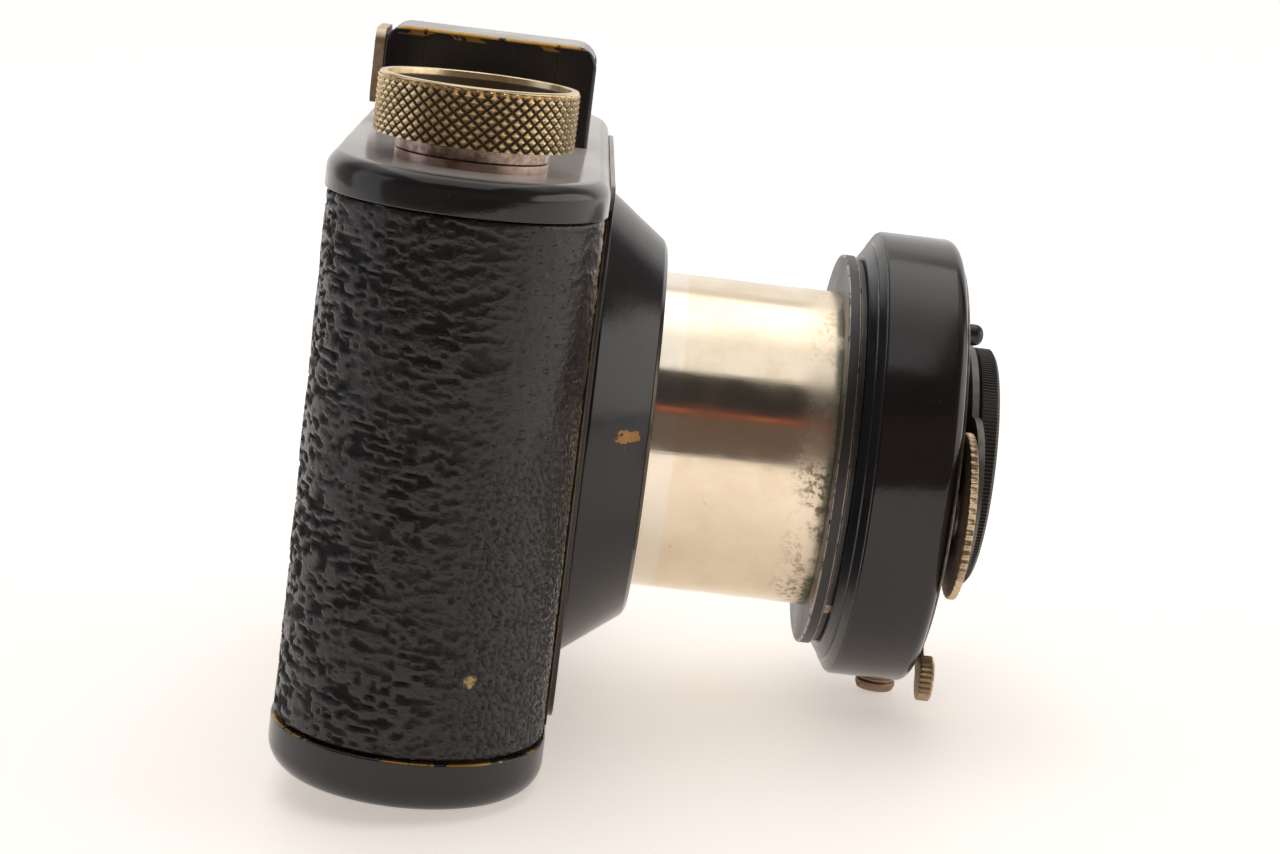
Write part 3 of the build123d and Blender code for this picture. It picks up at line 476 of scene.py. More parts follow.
body_enamel = enamel("enamel_body", wear=0.26, rough=0.09)
body_enamel.set(Sheen_Weight=0.7, Sheen_Roughness=0.35, Sheen_Tint=(1.0, 0.96, 0.93))
dust_and_top_glare(body_enamel, 0.55)
cap_enamel = enamel("enamel_cap", wear=0.22, rough=0.14, patches=cap_rim_patches)
plate_enamel = enamel("enamel_plate", wear=0.75, rough=0.16, worn=(0.55, 0.33, 0.13), reach=0.25)
collar_enamel = enamel("enamel_collar", wear=0.35, rough=0.13, worn=(0.45, 0.24, 0.09), reach=0.25,
                       patches=collar_patches)
finder_enamel = enamel("enamel_finder", wear=-0.8, rough=0.16, patches=finder_patches)
dust_and_top_glare(finder_enamel, 0.42)
drum_enamel = enamel("enamel_drum", (0.012, 0.0095, 0.0095), wear=0.28, rough=0.10, reach=0.25)
bevel_enamel = enamel("enamel_bevel", (0.012, 0.014, 0.017), wear=0.4, rough=0.22, worn=(0.30, 0.29, 0.28))
flange_enamel = enamel("enamel_flange", (0.020, 0.018, 0.017), wear=0.85, worn=(0.62, 0.56, 0.49), rough=0.33,
                       reach=0.45, patches=flange_patches)
ring_black = enamel("enamel_ring", (0.014, 0.013, 0.013), wear=0.6, rough=0.28, reach=0.12)
inside_black = enamel("enamel_inside", (0.010, 0.010, 0.010), wear=0.05, rough=0.55)


def leather_finish():
    """Polished black leather: creases painted near black as painted shade, worn tops, flecks of the metal
    under it along its front edge.
    """
    f = Finish("leather")
    pit = f.axis("X", f.add("ShaderNodeAttribute", attribute_name="crease").outputs["Vector"])
    broad = f.noise(6 * MM, 4)
    dash = f.ease(f.noise(0.8 * MM, 4, 0.62, f.stretch(1, 1, 3.0), 0.5), 0.60, 0.68)
    front = -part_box("leather_cover")[0][1]
    forward = f.forward()
    end = f.ease(f.axis("X"), -end_x - 3.0 * MM, -end_x + 1.0 * MM)
    edge = f.times(f.ease(forward, front - 0.9 * MM, front - 0.05 * MM), end)
    fleck = f.times(edge, f.ease(f.noise(0.5 * MM, 4, 0.7, f.stretch(1, 1, 0.25)), 0.52, 0.58))
    green = f.times(f.ease(forward, front - 0.7 * MM, front - 0.2 * MM),
                    f.near(f.axis("Z"), 24.5 * MM, 3.4 * MM, 1.2 * MM),
                    f.ease(f.noise(0.6 * MM, 3), 0.57, 0.62))
    nick = f.vector("DISTANCE", f.spot, (-43.6 * MM, -5.6 * MM, 13.2 * MM))
    nick = f.ease(f.plus(nick, f.times(f.noise(0.35 * MM, 4, 0.7), 1.7 * MM)), 1.55 * MM, 1.25 * MM)
    ginger = f.times(f.ease(f.noise(0.45 * MM, 3), 0.70, 0.74), f.ease(broad, 0.5, 0.6), 0.5)
    # Mask of creases and dashes: painted shade, their colour painted near black below, and made rougher
    crease_shade = f.most(pit, f.times(dash, 0.75))
    colour = f.blend(broad, (0.0120, 0.0095, 0.0088), (0.021, 0.0165, 0.0150))
    colour = f.blend(crease_shade, colour, (0.0006, 0.0005, 0.0005))
    colour = f.blend(ginger, colour, (0.20, 0.09, 0.04))
    colour = f.blend(f.times(fleck, 0.85), colour, (0.34, 0.23, 0.14))
    colour = f.blend(f.times(nick, 0.8), colour, (0.50, 0.36, 0.12))
    colour = f.blend(green, colour, (0.03, 0.30, 0.25))
    pores = f.plus(f.times(f.noise(0.15 * MM, 3, 0.6), 0.22), f.times(f.cells(0.36 * MM), 0.30))
    f.set(
        Base_Color=colour,
        Roughness=f.between(crease_shade, f.ease(broad, 0.3, 0.7, 0.21, 0.30), 0.85),
        Specular_IOR_Level=0.45,
        Normal=f.bump(f.less(pores, f.times(dash, 1.3)), 0.09 * MM, 0.75),
    )
    return f


def tube_finish():
    """Polished nickel, dulled in a band by handling, stained and greened next to the flange."""
    f = Finish("nickel_tube")
    back = span("tube_flange")[1]
    forward = f.forward()
    gap = f.less(back, forward)
    streak = f.noise(0.5 * MM, 4, 0.6, f.stretch(1, 0.07, 1))
    round_streak = f.noise(0.35 * MM, 3, 0.6, f.stretch(0.10, 1, 0.10))
    cloud = f.noise(5 * MM, 5, 0.62)
    blot = f.ease(f.noise(0.8 * MM, 5, 0.72), 0.47, 0.58)
    stain = f.times(blot, f.ease(f.plus(gap, f.times(f.noise(2.5 * MM, 3), 4 * MM)), 6.6 * MM, 3.0 * MM),
                    f.ease(cloud, 0.36, 0.52),
                    f.ease(f.axis("Z"), lens_z + 11 * MM, lens_z + 1 * MM, 0.25, 1.0))
    spots = f.times(f.ease(f.noise(0.7 * MM, 4, 0.7), 0.66, 0.74), f.ease(cloud, 0.48, 0.62))
    dull = f.ease(f.plus(gap, f.times(cloud, 3 * MM)), 6.5 * MM, 3.0 * MM)
    green = f.times(f.ease(gap, 0.9 * MM, 0.15 * MM), f.ease(cloud, 0.32, 0.52))
    wiped = f.near(forward, back - 17.5 * MM, 1.2 * MM, 0.25 * MM)
    colour = f.blend(f.ease(cloud, 0.3, 0.75), (0.94, 0.81, 0.63), (0.84, 0.71, 0.53))
    colour = f.blend(f.times(wiped, 0.5), colour, (0.96, 0.90, 0.80))
    colour = f.blend(f.times(stain, 0.70), colour, (0.22, 0.14, 0.07))
    colour = f.blend(f.times(spots, 0.6), colour, (0.20, 0.15, 0.10))
    colour = f.blend(f.times(green, 0.75), colour, (0.07, 0.12, 0.075))
    f.set(
        Base_Color=colour,
        Metallic=f.less(1.0, f.times(f.most(stain, green), 0.6)),
        Roughness=f.plus(f.ease(cloud, 0.35, 0.75, 0.10, 0.19), f.times(streak, 0.05), f.times(dull, 0.16),
                         f.times(stain, 0.25)),
        Normal=f.bump(f.plus(f.times(round_streak, 0.5),
                             f.less(streak, f.times(stain, 1.5))), 0.006 * MM, 0.7),
    )
    return f


def knob_dirt(f):
    """Dirt in the knurl's grooves and specks elsewhere."""
    flat = f.vector("MULTIPLY", f.vector("SUBTRACT", f.spot, (knob_x, 0, 0)), (1, 1, 0))
    distance = f.vector("LENGTH", flat)
    outer = span("winding_knob")[0]
    high = heights("winding_knob")[1]
    band = f.ease(distance, 0.8 * outer, 0.88 * outer)
    deep = f.ease(f.plus(distance, f.times(f.noise(0.5 * MM, 3), 0.16 * MM)),
                  outer - 0.10 * MM, outer - 0.26 * MM)
    inside = f.ease(distance, outer - 1.1 * MM, outer - 0.95 * MM)
    return f.times(deep, band, inside, f.ease(f.axis("Z"), high - 0.5 * MM, high - 0.7 * MM), 0.92)


def knurl_finish():
    """Yellowed nickel with dirt in its grooves, over a brown mottled hub."""
    f = metal("nickel_knurl", (0.84, 0.68, 0.43), 0.22, (0.50, 0.34, 0.17), 0.55, dirt=knob_dirt, pits=0.35)
    foot = heights("winding_knob")[0] + HUB_HEIGHT
    mottled = f.blend(f.ease(f.noise(0.9 * MM, 4), 0.35, 0.7), (0.46, 0.34, 0.28), (0.22, 0.15, 0.12))
    f.set(Base_Color=f.blend(f.ease(f.axis("Z"), foot, foot - 0.05 * MM), f.colour(), mottled))
    return f


leather = leather_finish()
nickel_tube = tube_finish()
knurl_metal = knurl_finish()
hub_metal = metal("nickel_hub", (0.50, 0.38, 0.31), 0.30, (0.24, 0.16, 0.12), 0.65, (0.08, 0.08, 1), pits=0.7)
plain_nickel = metal("nickel_plain", (0.62, 0.53, 0.42), 0.28, (0.30, 0.22, 0.14), 0.55, pits=0.5)
dial_metal = metal("nickel_dial", (0.58, 0.45, 0.30), 0.30, (0.33, 0.23, 0.12), 0.6, pits=0.6)
index_metal = metal("nickel_index", (0.17, 0.17, 0.155), 0.42, (0.12, 0.12, 0.10), 0.6, pits=0.5)
bronze = metal("bronze_socket", (0.30, 0.21, 0.15), 0.32, (0.09, 0.06, 0.04), 0.6, pits=0.6)
brass = metal("brass_plain", (0.70, 0.50, 0.22), 0.30, (0.35, 0.22, 0.09), 0.5)
steel = metal("steel_plain", (0.55, 0.55, 0.56), 0.28, (0.30, 0.27, 0.24), 0.3)
blued = metal("steel_blued", (0.07, 0.07, 0.085), 0.30, (0.04, 0.035, 0.03), 0.4)
eyepiece_metal = metal("nickel_eyepiece", (0.58, 0.45, 0.33), 0.34, (0.36, 0.25, 0.16), 0.6, pits=0.5)


def felt_finish():
    """Black felt with a fine fuzz."""
    f = Finish("felt_black")
    fuzz = f.noise(0.12 * MM, 4, 0.7)
    f.set(Base_Color=f.blend(fuzz, (0.004, 0.004, 0.004), (0.02, 0.019, 0.018)), Roughness=0.95,
          Normal=f.bump(fuzz, 0.08 * MM, 0.8))
    return f


def glass(name, tint):
    """Glass with faint dust."""
    f = Finish(name)
    dust = f.ease(f.noise(0.5 * MM, 4, 0.6), 0.60, 0.75)
    f.set(Base_Color=f.blend(f.times(dust, 0.15), tint, (0.75, 0.74, 0.7)),
          Roughness=f.times(dust, 0.12), Transmission_Weight=1.0, IOR=1.52)
    return f


felt = felt_finish()
clear_glass = glass("glass_clear", (0.97, 0.985, 0.98))
ruby_glass = glass("glass_ruby", (0.55, 0.012, 0.01))


# ---- CAD nodes that keep their shape
def paint(finish, *nodes):
    for node in nodes:
        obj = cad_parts[node]
        obj.data.materials.clear()
        obj.data.materials.append(finish.material)


paint(finder_enamel, "finder_housing")
paint(flange_enamel, "faceplate")
paint(ring_black, "front_barrel", "front_cell")
paint(inside_black, "case_shell", "inner_chassis", "pressure_plate", "shutter_plate", "rear_lens_cell")
paint(body_enamel, "take_up_spool", "supply_spool")
paint(eyepiece_metal, "finder_eyepiece_plate")
paint(plain_nickel, "window_bezels", "knob_screw", "pivot_screws", "retaining_ring")
paint(bronze, "flange_screw")
paint(index_metal, "index_plate")
paint(brass, "guide_ring", "tripod_bush", "winding_shaft", "lift_bush", "blade_driver", "cocking_lever")
paint(steel, "drag_springs", "pressure_spring", "film_roller_left", "film_roller_right", "spool_pivots")
paint(blued, "cocking_pin", "aperture_ring",
      *(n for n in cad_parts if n.startswith(("shutter_blade", "iris_leaf"))))
paint(felt, "felt_ring")
paint(clear_glass, "finder_front_lens", "finder_eyepiece_lens", "front_element", "rear_element")
paint(ruby_glass, "ruby_windows")


# ---- caps and front plate
def body_cap(name, finish, body, node, pocket, outside, hole, faces):
    """Round-ended cap with a round hole of (x, radius) through its flat, from its pocket to its outside."""
    x, radius = hole
    bm = bmesh.new()
    rings = sweep(bm, stadium(), [*pocket, *outside], standing(0))
    well = sweep(bm, circle(64), [(radius, face) for face in faces], standing(x))
    fill(bm, rings[0], well[0])
    fill(bm, rings[-1], well[1])
    piece(name, bm, finish, body, node)


half_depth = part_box("bottom_cap")[1][1]
shell_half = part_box("case_shell")[1][1]
skin_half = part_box("leather_cover")[1][1]
chassis_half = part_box("inner_chassis")[1][1] - CAP_SKIN
cap_low, cap_high = heights("top_cap")
base_low, base_high = heights("bottom_cap")
body_cap(
    "top_cap_skin", body_enamel, "body", "top_cap",
    [(chassis_half, cap_high - CAP_SKIN), (chassis_half, cap_low)],
    eased([(chassis_half, cap_low, 0), (half_depth, cap_low, 0.12 * MM), (half_depth, cap_high, TOP_ROUND),
           (chassis_half, cap_high, 0)], 8)[1:-1],
    (knob_x, WELL_RADIUS), (cap_high - CAP_SKIN, cap_high),
)
body_cap(
    "bottom_cap_skin", cap_enamel, "rear_case", "bottom_cap",
    [(shell_half, base_low + CAP_SKIN), (shell_half, base_high)],
    eased([(shell_half, base_high, 0), (half_depth, base_high, 0.22 * MM),
           (half_depth, base_low, BOTTOM_ROUND), (8 * MM, base_low, 0)], 12)[1:-1],
    (0, 5.5 * MM), (base_low + CAP_SKIN, base_low),
)



def front_plate():
    """Sheet with rounded corners, its front edge bent back a little, and the collar's hole through it."""
    low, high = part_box("front_plate")
    back, front = -high[1], -low[1]
    bm = bmesh.new()
    bent = [(PLATE_BEND * (1 - cos(a)), front - PLATE_BEND * (1 - sin(a)))
            for a in (0, pi / 8, pi / 4, 3 * pi / 8, pi / 2)]
    sheet = sweep(bm, rounded_box(high[0] - low[0], high[2] - low[2], PLATE_CORNER), [(0, back), *bent],
                  facing_front(0, (low[2] + high[2]) / 2))
    hole = sweep(bm, circle(128), [(COLLAR_BORE, back), (COLLAR_BORE, front)], on_lens)
    fill(bm, sheet[0], hole[0])
    fill(bm, sheet[-1], hole[1])
    piece("front_plate_sheet", bm, plate_enamel, "body", "front_plate")


front_plate()


# ---- turned lens parts
collar_radius, collar_back, collar_front = span("lens_collar")
collar_lip = collar_front - 0.8 * MM
turned(
    "lens_collar_cone",
    [
        (COLLAR_BORE, collar_back, 0),
        (collar_radius, collar_back, 0.25 * MM),
        (COLLAR_NOSE, collar_front - 0.4 * MM, 0.5 * MM),
        (COLLAR_NOSE - 0.7 * MM, collar_front, 0.3 * MM),
        (COLLAR_MOUTH, collar_front, 0.1 * MM),
        (COLLAR_MOUTH, collar_lip, 0),
        (COLLAR_BORE, collar_lip, 0),
    ],
    collar_enamel, "body", "lens_collar",
)

flare_radius, tube_back, tube_front = span("lens_tube")
flare_end = tube_back + 0.9 * MM
turned(
    "lens_tube_sleeve",
    [
        (TUBE_RADIUS - TUBE_WALL, tube_back, 0),
        (flare_radius, tube_back, 0.15 * MM),
        (flare_radius, flare_end, 0.15 * MM),
        (TUBE_RADIUS, flare_end, 0),
        (TUBE_RADIUS, tube_front, 0),
        (TUBE_RADIUS - TUBE_WALL, tube_front, 0),
    ],
    nickel_tube, "lens_tube", "lens_tube",
)

flange_radius, flange_back, flange_front = span("tube_flange")


def tube_flange():
    """Stepped disc with the shutter's neck and the flange's screw through it."""
    step, land = flange_front - FLANGE_STEP, flange_radius - 0.35 * MM
    bm = bmesh.new()
    disc = sweep(bm, circle(), eased([
        (NECK_RADIUS, flange_back, 0),
        (flange_radius, flange_back, 0.2 * MM),
        (flange_radius, step, 0.12 * MM),
        (land, step, 0.1 * MM),
        (land, flange_front, 0.15 * MM),
        (NECK_RADIUS, flange_front, 0),
    ])[1:-1], on_lens)
    x, _, z = middle("flange_screw")
    screw = span("flange_screw")[0]
    bore = sweep(bm, circle(96), [(NECK_RADIUS, flange_back), (NECK_RADIUS, flange_front)], on_lens)
    shaft = sweep(bm, circle(32), [(screw, flange_back), (screw, flange_front)], facing_front(x, z))
    fill(bm, disc[0], bore[0], shaft[0])
    fill(bm, disc[-1], bore[1], shaft[1])
    piece("tube_flange_ring", bm, flange_enamel, "lens_tube", "tube_flange")


tube_flange()

drum_radius, drum_back, drum_front = span("shutter_case")
bevel_radius, neck_back, bevel_front = span("shutter_back")
neck_inside = NECK_RADIUS - 0.95 * MM
bevel_step = flange_front + 0.86 * MM
turned(
    "shutter_back_cone",
    [
        (neck_inside, neck_back, 0),
        (NECK_RADIUS, neck_back, 0),
        (NECK_RADIUS, flange_front, 0),
        (21.2 * MM, flange_front, 0.12 * MM),
        (22.3 * MM, flange_front + 0.72 * MM, 0.1 * MM),
        (22.3 * MM, bevel_step, 0.05 * MM),
        (22.62 * MM, bevel_step, 0.05 * MM),
        (bevel_radius, bevel_front - 0.12 * MM, 0.08 * MM),
        (bevel_radius, bevel_front, 0),
        (neck_inside, bevel_front, 0),
    ],
    bevel_enamel, "lens_tube", "shutter_back",
)
turned(
    "shutter_drum",
    [
        (drum_radius - DRUM_WALL, drum_back, 0),
        (drum_radius, drum_back, 0.3 * MM),
        (drum_radius, drum_front, 1.2 * MM),
        (DRUM_MOUTH, drum_front, 0),
        (DRUM_MOUTH, drum_front - 1.0 * MM, 0),
        (drum_radius - DRUM_WALL, drum_front - 1.0 * MM, 0),
    ],
    drum_enamel, "lens_tube", "shutter_case",
)


# ---- straight-knurled focusing ring
focus_radius, focus_back, focus_front = span("focusing_ring")
GROOVES = 200


def knurl_wave(angle):
    """Shallow V grooves between teeth with rounded tops."""
    return -0.16 * MM * max(0.0, 1 - 2 * phase(angle, GROOVES) / 1.6) ** 1.2


def focusing_knurl():
    teeth, plain = circle(GROOVES * 6, knurl_wave), circle(GROOVES * 6)
    shoulder, rim = focus_radius - 0.22 * MM, focus_radius - 0.45 * MM
    bm = bmesh.new()
    layered(bm, [
        (plain, BARREL_RADIUS, focus_back),
        (plain, rim, focus_back),
        (plain, shoulder, focus_back + 0.16 * MM),
        (teeth, focus_radius, focus_back + 0.32 * MM),
        (teeth, focus_radius, focus_front - 0.32 * MM),
        (plain, shoulder, focus_front - 0.16 * MM),
        (plain, rim, focus_front),
        (plain, BARREL_RADIUS, focus_front - 1.0 * MM),
    ], on_lens)
    piece("focusing_knurl", bm, ring_black, "focusing_ring", "focusing_ring", sharp=25)


focusing_knurl()


# ---- speed dial
dial_radius, dial_back, dial_front = span("speed_dial")
dial_x, _, dial_z = middle("speed_dial")
TEETH = 50


def scallop(angle):
    """Small round bites out of the dial's edge."""
    return -0.30 * MM * (1 - phase(angle, TEETH) ** 2) ** 2


def speed_dial():
    teeth, plain = circle(TEETH * 10, scallop), circle(TEETH * 10)
    post = 1.45 * MM
    bm = bmesh.new()
    layered(bm, [
        (plain, dial_radius - 1.0 * MM, dial_back),
        (plain, dial_radius - 0.55 * MM, dial_back),
        (teeth, dial_radius - 0.05 * MM, dial_back + 0.12 * MM),
        (teeth, dial_radius, dial_back + 0.25 * MM),
        (teeth, dial_radius, dial_front - 0.22 * MM),
        (teeth, dial_radius - 0.06 * MM, dial_front - 0.08 * MM),
        (plain, dial_radius - 0.60 * MM, dial_front),
        (plain, dial_radius - 0.95 * MM, dial_front),
        (plain, dial_radius - 1.05 * MM, dial_front - 0.07 * MM),
        (plain, post, dial_front - 0.07 * MM),
        (plain, post, dial_back),
    ], facing_front(dial_x, dial_z))
    piece("speed_dial_disc", bm, dial_metal, "speed_dial", "speed_dial", sharp=28)


speed_dial()


# ---- diamond-knurled winding knob
knob_radius = span("winding_knob")[0]
hub_low, knob_high = heights("winding_knob")
knob_low = hub_low + HUB_HEIGHT
cup_floor = hub_low + 3.05 * MM
ACROSS = 48         # diamonds round the knob
ROWS = 5
FLAT = 0.125        # half the width of a diamond's flat top, as a share of the diamond
DEPTH = 0.46 * MM
band_low, band_high = knob_low + 0.12 * MM, knob_high - 0.36 * MM


def knurled_band(bm, place):
    """Pyramids between crossing grooves; gives back the lower and upper rims as rings of vertices."""
    pitch = (band_high - band_low) / ROWS
    found = {}

    def vertex(a, b, high):
        key = (round(a * 8) % (ACROSS * 8), round(b * 8), high)
        if key not in found:
            angle = 2 * pi * a / ACROSS
            radius = knob_radius - (0 if high else DEPTH)
            found[key] = bm.verts.new(place(radius * cos(angle), radius * sin(angle), band_low + b * pitch))
        return found[key]

    lower, upper = [], []
    for row in range(2 * ROWS + 1):
        b = row / 2
        for i in range(ACROSS):
            a = i + (row % 2) / 2
            left, right = vertex(a - 0.5, b, False), vertex(a + 0.5, b, False)
            west, east = vertex(a - FLAT, b, True), vertex(a + FLAT, b, True)
            if row < 2 * ROWS:
                top, north = vertex(a, b + 0.5, False), vertex(a, b + FLAT, True)
                bm.faces.new((left, west, north, top))
                bm.faces.new((east, right, top, north))
            if row > 0:
                bottom, south = vertex(a, b - 0.5, False), vertex(a, b - FLAT, True)
                bm.faces.new((bottom, south, west, left))
                bm.faces.new((right, east, south, bottom))
            if row == 0:
                bm.faces.new((west, east, north))
                lower += [left, west, east]
            elif row == 2 * ROWS:
                bm.faces.new((south, east, west))
                upper += [left, west, east]
            else:
                bm.faces.new((south, east, north, west))
    return lower, upper


def carry_on(bm, rim, profile, place):
    """Skins on from a rim of vertices through (radius, along) points at the rim's own angles."""
    angles = [atan2(v.co.y, v.co.x - knob_x) for v in rim]
    rings = [[bm.verts.new(place(r * cos(a), r * sin(a), along)) for a in angles] for r, along in profile]
    return skin(bm, [rim, *rings])[-1]


def winding_knob():
    """Knurled band with a rounded rim and a cup above it, and the hub and the shaft's hole below."""
    outer, cup = knob_radius, knob_radius - 0.9 * MM
    shaft = 2.0 * MM
    place = standing(knob_x)
    bm = bmesh.new()
    lower, upper = knurled_band(bm, place)
    top = carry_on(bm, upper, [
        (outer - 0.26 * MM, band_high + 0.07 * MM), (outer - 0.15 * MM, band_high + 0.15 * MM),
        (outer - 0.15 * MM, knob_high - 0.12 * MM), (outer - 0.22 * MM, knob_high - 0.03 * MM),
        (outer - 0.34 * MM, knob_high), (cup + 0.12 * MM, knob_high),
        (cup + 0.03 * MM, knob_high - 0.05 * MM), (cup, knob_high - 0.15 * MM),
        (cup, cup_floor + 0.3 * MM), (cup - 0.3 * MM, cup_floor), (shaft, cup_floor),
    ], place)
    foot = carry_on(bm, lower, [
        (outer - 0.62 * MM, knob_low + 0.02 * MM), (outer - 0.8 * MM, knob_low),
        (HUB_RADIUS + 0.08 * MM, knob_low), (HUB_RADIUS, knob_low - 0.08 * MM),
        (HUB_RADIUS, hub_low + 0.10 * MM), (HUB_RADIUS - 0.10 * MM, hub_low), (shaft, hub_low),
    ], place)
    skin(bm, [top, foot])
    piece("knob_knurled", bm, knurl_metal, "winding_knob", "winding_knob", sharp=24)


winding_knob()
ring_low, ring_high = heights("knob_base_ring")
turned(
    "knob_base",
    [(WELL_RADIUS, ring_low, 0), (HUB_RADIUS, ring_low, 0), (HUB_RADIUS, ring_high, 0.09 * MM),
     (WELL_RADIUS, ring_high, 0)],
    hub_metal, "body", "knob_base_ring", place=standing(knob_x),
)


# ---- leather
def smooth_noise(u, v, seed):
    """Value noise on a unit lattice."""
    rng = np.random.default_rng(seed)
    table = rng.random((256, 256))
    iu, iv = np.floor(u).astype(int), np.floor(v).astype(int)
    fu, fv = u - iu, v - iv
    fu, fv = fu * fu * (3 - 2 * fu), fv * fv * (3 - 2 * fv)
    iu, iv = iu % 256, iv % 256
    ju, jv = (iu + 1) % 256, (iv + 1) % 256
    low = table[iu, iv] * (1 - fu) + table[ju, iv] * fu
    high = table[iu, jv] * (1 - fu) + table[ju, jv] * fu
    return low * (1 - fv) + high * fv


def pebbles(u, v, seed):
    """Cells of a jittered lattice: (gap to the nearest edge, a random level for each cell)."""
    rng = np.random.default_rng(seed)
    jitter = rng.random((256, 256, 3))
    iu, iv = np.floor(u).astype(int), np.floor(v).astype(int)
    first = np.full(u.shape, 9.0)
    second = np.full(u.shape, 9.0)
    level = np.zeros(u.shape)
    for du in (-1, 0, 1):
        for dv in (-1, 0, 1):
            cell = jitter[(iu + du) % 256, (iv + dv) % 256]
            distance = np.hypot(iu + du + cell[..., 0] - u, iv + dv + cell[..., 1] - v)
            closer = distance < first
            second = np.where(closer, first, np.minimum(second, distance))
            level = np.where(closer, cell[..., 2], level)
            first = np.where(closer, distance, first)
    return second - first, level


def smooth(value, low, high):
    """Smooth step of a value from low to high, falling where low is above high."""
    t = np.clip((value - low) / (high - low), 0, 1)
    return t * t * (3 - 2 * t)


def grain(s, z):
    """Height and crease mask of the grain, at s along the wrap and z up, all lengths in millimetres."""
    sway = 1.5 * (smooth_noise(s / 6, z / 8, 3) - 0.5) + 0.3 * (smooth_noise(s / 1.9, z / 1.9, 4) - 0.5)
    near_front = smooth(s, 24, 16) + smooth(s, total - 24, total - 16)
    low = smooth(z + 5 * (smooth_noise(s / 9, z / 9, 12) - 0.5), 42, 31)
    pebbly = near_front * low
    creased = near_front * (1 - low)
    long = smooth_noise(s / 1.40 + 11, (z + sway) / 0.40, 7)
    dash = smooth(long, 0.61, 0.72) * (0.35 + 0.65 * smooth(smooth_noise(s / 5, z / 5, 13), 0.25, 0.55))
    short = smooth_noise(s / 0.80 + 3, (z + sway) / 0.33, 8)
    dash = np.maximum(dash, 0.8 * smooth(short, 0.72, 0.83)) * (1 - 0.9 * pebbly) * (1 - 0.75 * creased)
    gap, level = pebbles((s + sway) / 0.84, (z + 0.8 * sway) / 0.70, 6)
    seam = (1 - smooth(gap, 0.02, 0.38)) * (0.18 + 0.82 * np.clip(pebbly, 0, 1))
    fold = smooth_noise(s / 4.2, (z + 1.3 * sway) / 0.95, 11)
    broken = smooth(smooth_noise(s / 2.5, z / 1.5, 14), 0.4, 0.55)
    ridge = (1 - np.clip(np.abs(fold - 0.52) / 0.07, 0, 1)) * creased * broken
    swell = 0.10 * (smooth_noise(s / 3.3, z / 2.2, 9) - 1)
    height = swell - 0.26 * dash - 0.17 * seam + 0.06 * (level - 1) * (0.3 + pebbly) + 0.10 * (ridge - 1)
    # The second value is the crease mask, which the leather's colour darkens to near black as painted shade
    return height, np.clip(dash + 0.75 * seam * seam, 0, 1)


# The leather's run, in millimetres: front flat, end arc, back, end arc, front flat
leather_low, leather_high = heights("leather_cover")
end = end_x / MM
half = skin_half / MM
flat_front = end - LEATHER_EDGE
arc = pi * half
back_run = 2 * end
total = 2 * flat_front + 2 * arc + back_run


def wrap(s, offset):
    """Point and outward normal at s along the wrap, from its edge by the front plate on the -X side."""
    if s < flat_front:
        return (-LEATHER_EDGE - s, -offset), (0, -1)
    s -= flat_front
    if s < arc:
        a = -pi / 2 - s / half
        return (-end + offset * cos(a), offset * sin(a)), (cos(a), sin(a))
    s -= arc
    if s < back_run:
        return (-end + s, offset), (0, 1)
    s -= back_run
    if s < arc:
        a = pi / 2 - s / half
        return (end + offset * cos(a), offset * sin(a)), (cos(a), sin(a))
    s -= arc
    return (end - s, -offset), (0, -1)


def leather_wrap():
    """The covering as one closed sheet, its grain in the mesh, finest round the -X end."""
    coarse = 1.0
    near_end = flat_front + arc
    fine = np.arange(0, near_end, 0.25 * coarse)
    s = np.concatenate([fine, np.linspace(near_end, total, int(245 / coarse))])
    z = np.linspace(leather_low / MM, leather_high / MM, int(205 / coarse))
    grid_s, grid_z = np.meshgrid(s, z, indexing="ij")
    height, crease = grain(grid_s, grid_z)
    side_margin = np.minimum(grid_s, total - grid_s)
    end_margin = np.minimum(grid_z - z[0], z[-1] - grid_z)
    roll = np.clip(1 - np.minimum(side_margin, end_margin) / 0.5, 0, 1)
    height = np.minimum(height * (1 - 0.5 * roll) - 0.22 * roll**2.2, 0)
    columns, rows = len(s), len(z)
    bm = bmesh.new()
    mask = bm.verts.layers.float_vector.new("crease")
    outside, inside = [], []
    for i in range(columns):
        (x, y), normal = wrap(s[i], half)
        (bx, by), _ = wrap(s[i], half - 0.95)
        outside.append([bm.verts.new(((x + normal[0] * h) * MM, (y + normal[1] * h) * MM, zz * MM))
                        for h, zz in zip(height[i], z)])
        inside.append([bm.verts.new((bx * MM, by * MM, zz * MM)) for zz in (z[0], z[-1])])
    for i in range(columns):
        for k in range(rows):
            outside[i][k][mask] = (crease[i, k], 0, 0)
    for i in range(columns - 1):
        a, b = outside[i], outside[i + 1]
        for k in range(rows - 1):
            bm.faces.new((a[k], b[k], b[k + 1], a[k + 1]))
        bm.faces.new((inside[i][0], inside[i + 1][0], b[0], a[0]))
        bm.faces.new((a[-1], b[-1], inside[i + 1][1], inside[i][1]))
        bm.faces.new((inside[i + 1][0], inside[i][0], inside[i][1], inside[i + 1][1]))
    for i in (0, -1):
        bm.faces.new([*outside[i], inside[i][1], inside[i][0]])
    piece("leather_wrap", bm, leather, "rear_case", "leather_cover", sharp=70)


leather_wrap()


# ---- release lever and cable socket
def around_lens(radius, degrees):
    """(x, z) at an angle round the lens axis."""
    return radius * cos(radians(degrees)), lens_z + radius * sin(radians(degrees))


_, lever_back, lever_front = span("release_lever")
pad_x, pad_z = around_lens(23.4 * MM, 247)
pivot_x, pivot_z = around_lens(16 * MM, 268)
NOTCHES = 26


def notch(angle):
    return -0.17 * MM * (1 - phase(angle, NOTCHES) ** 2) ** 1.5


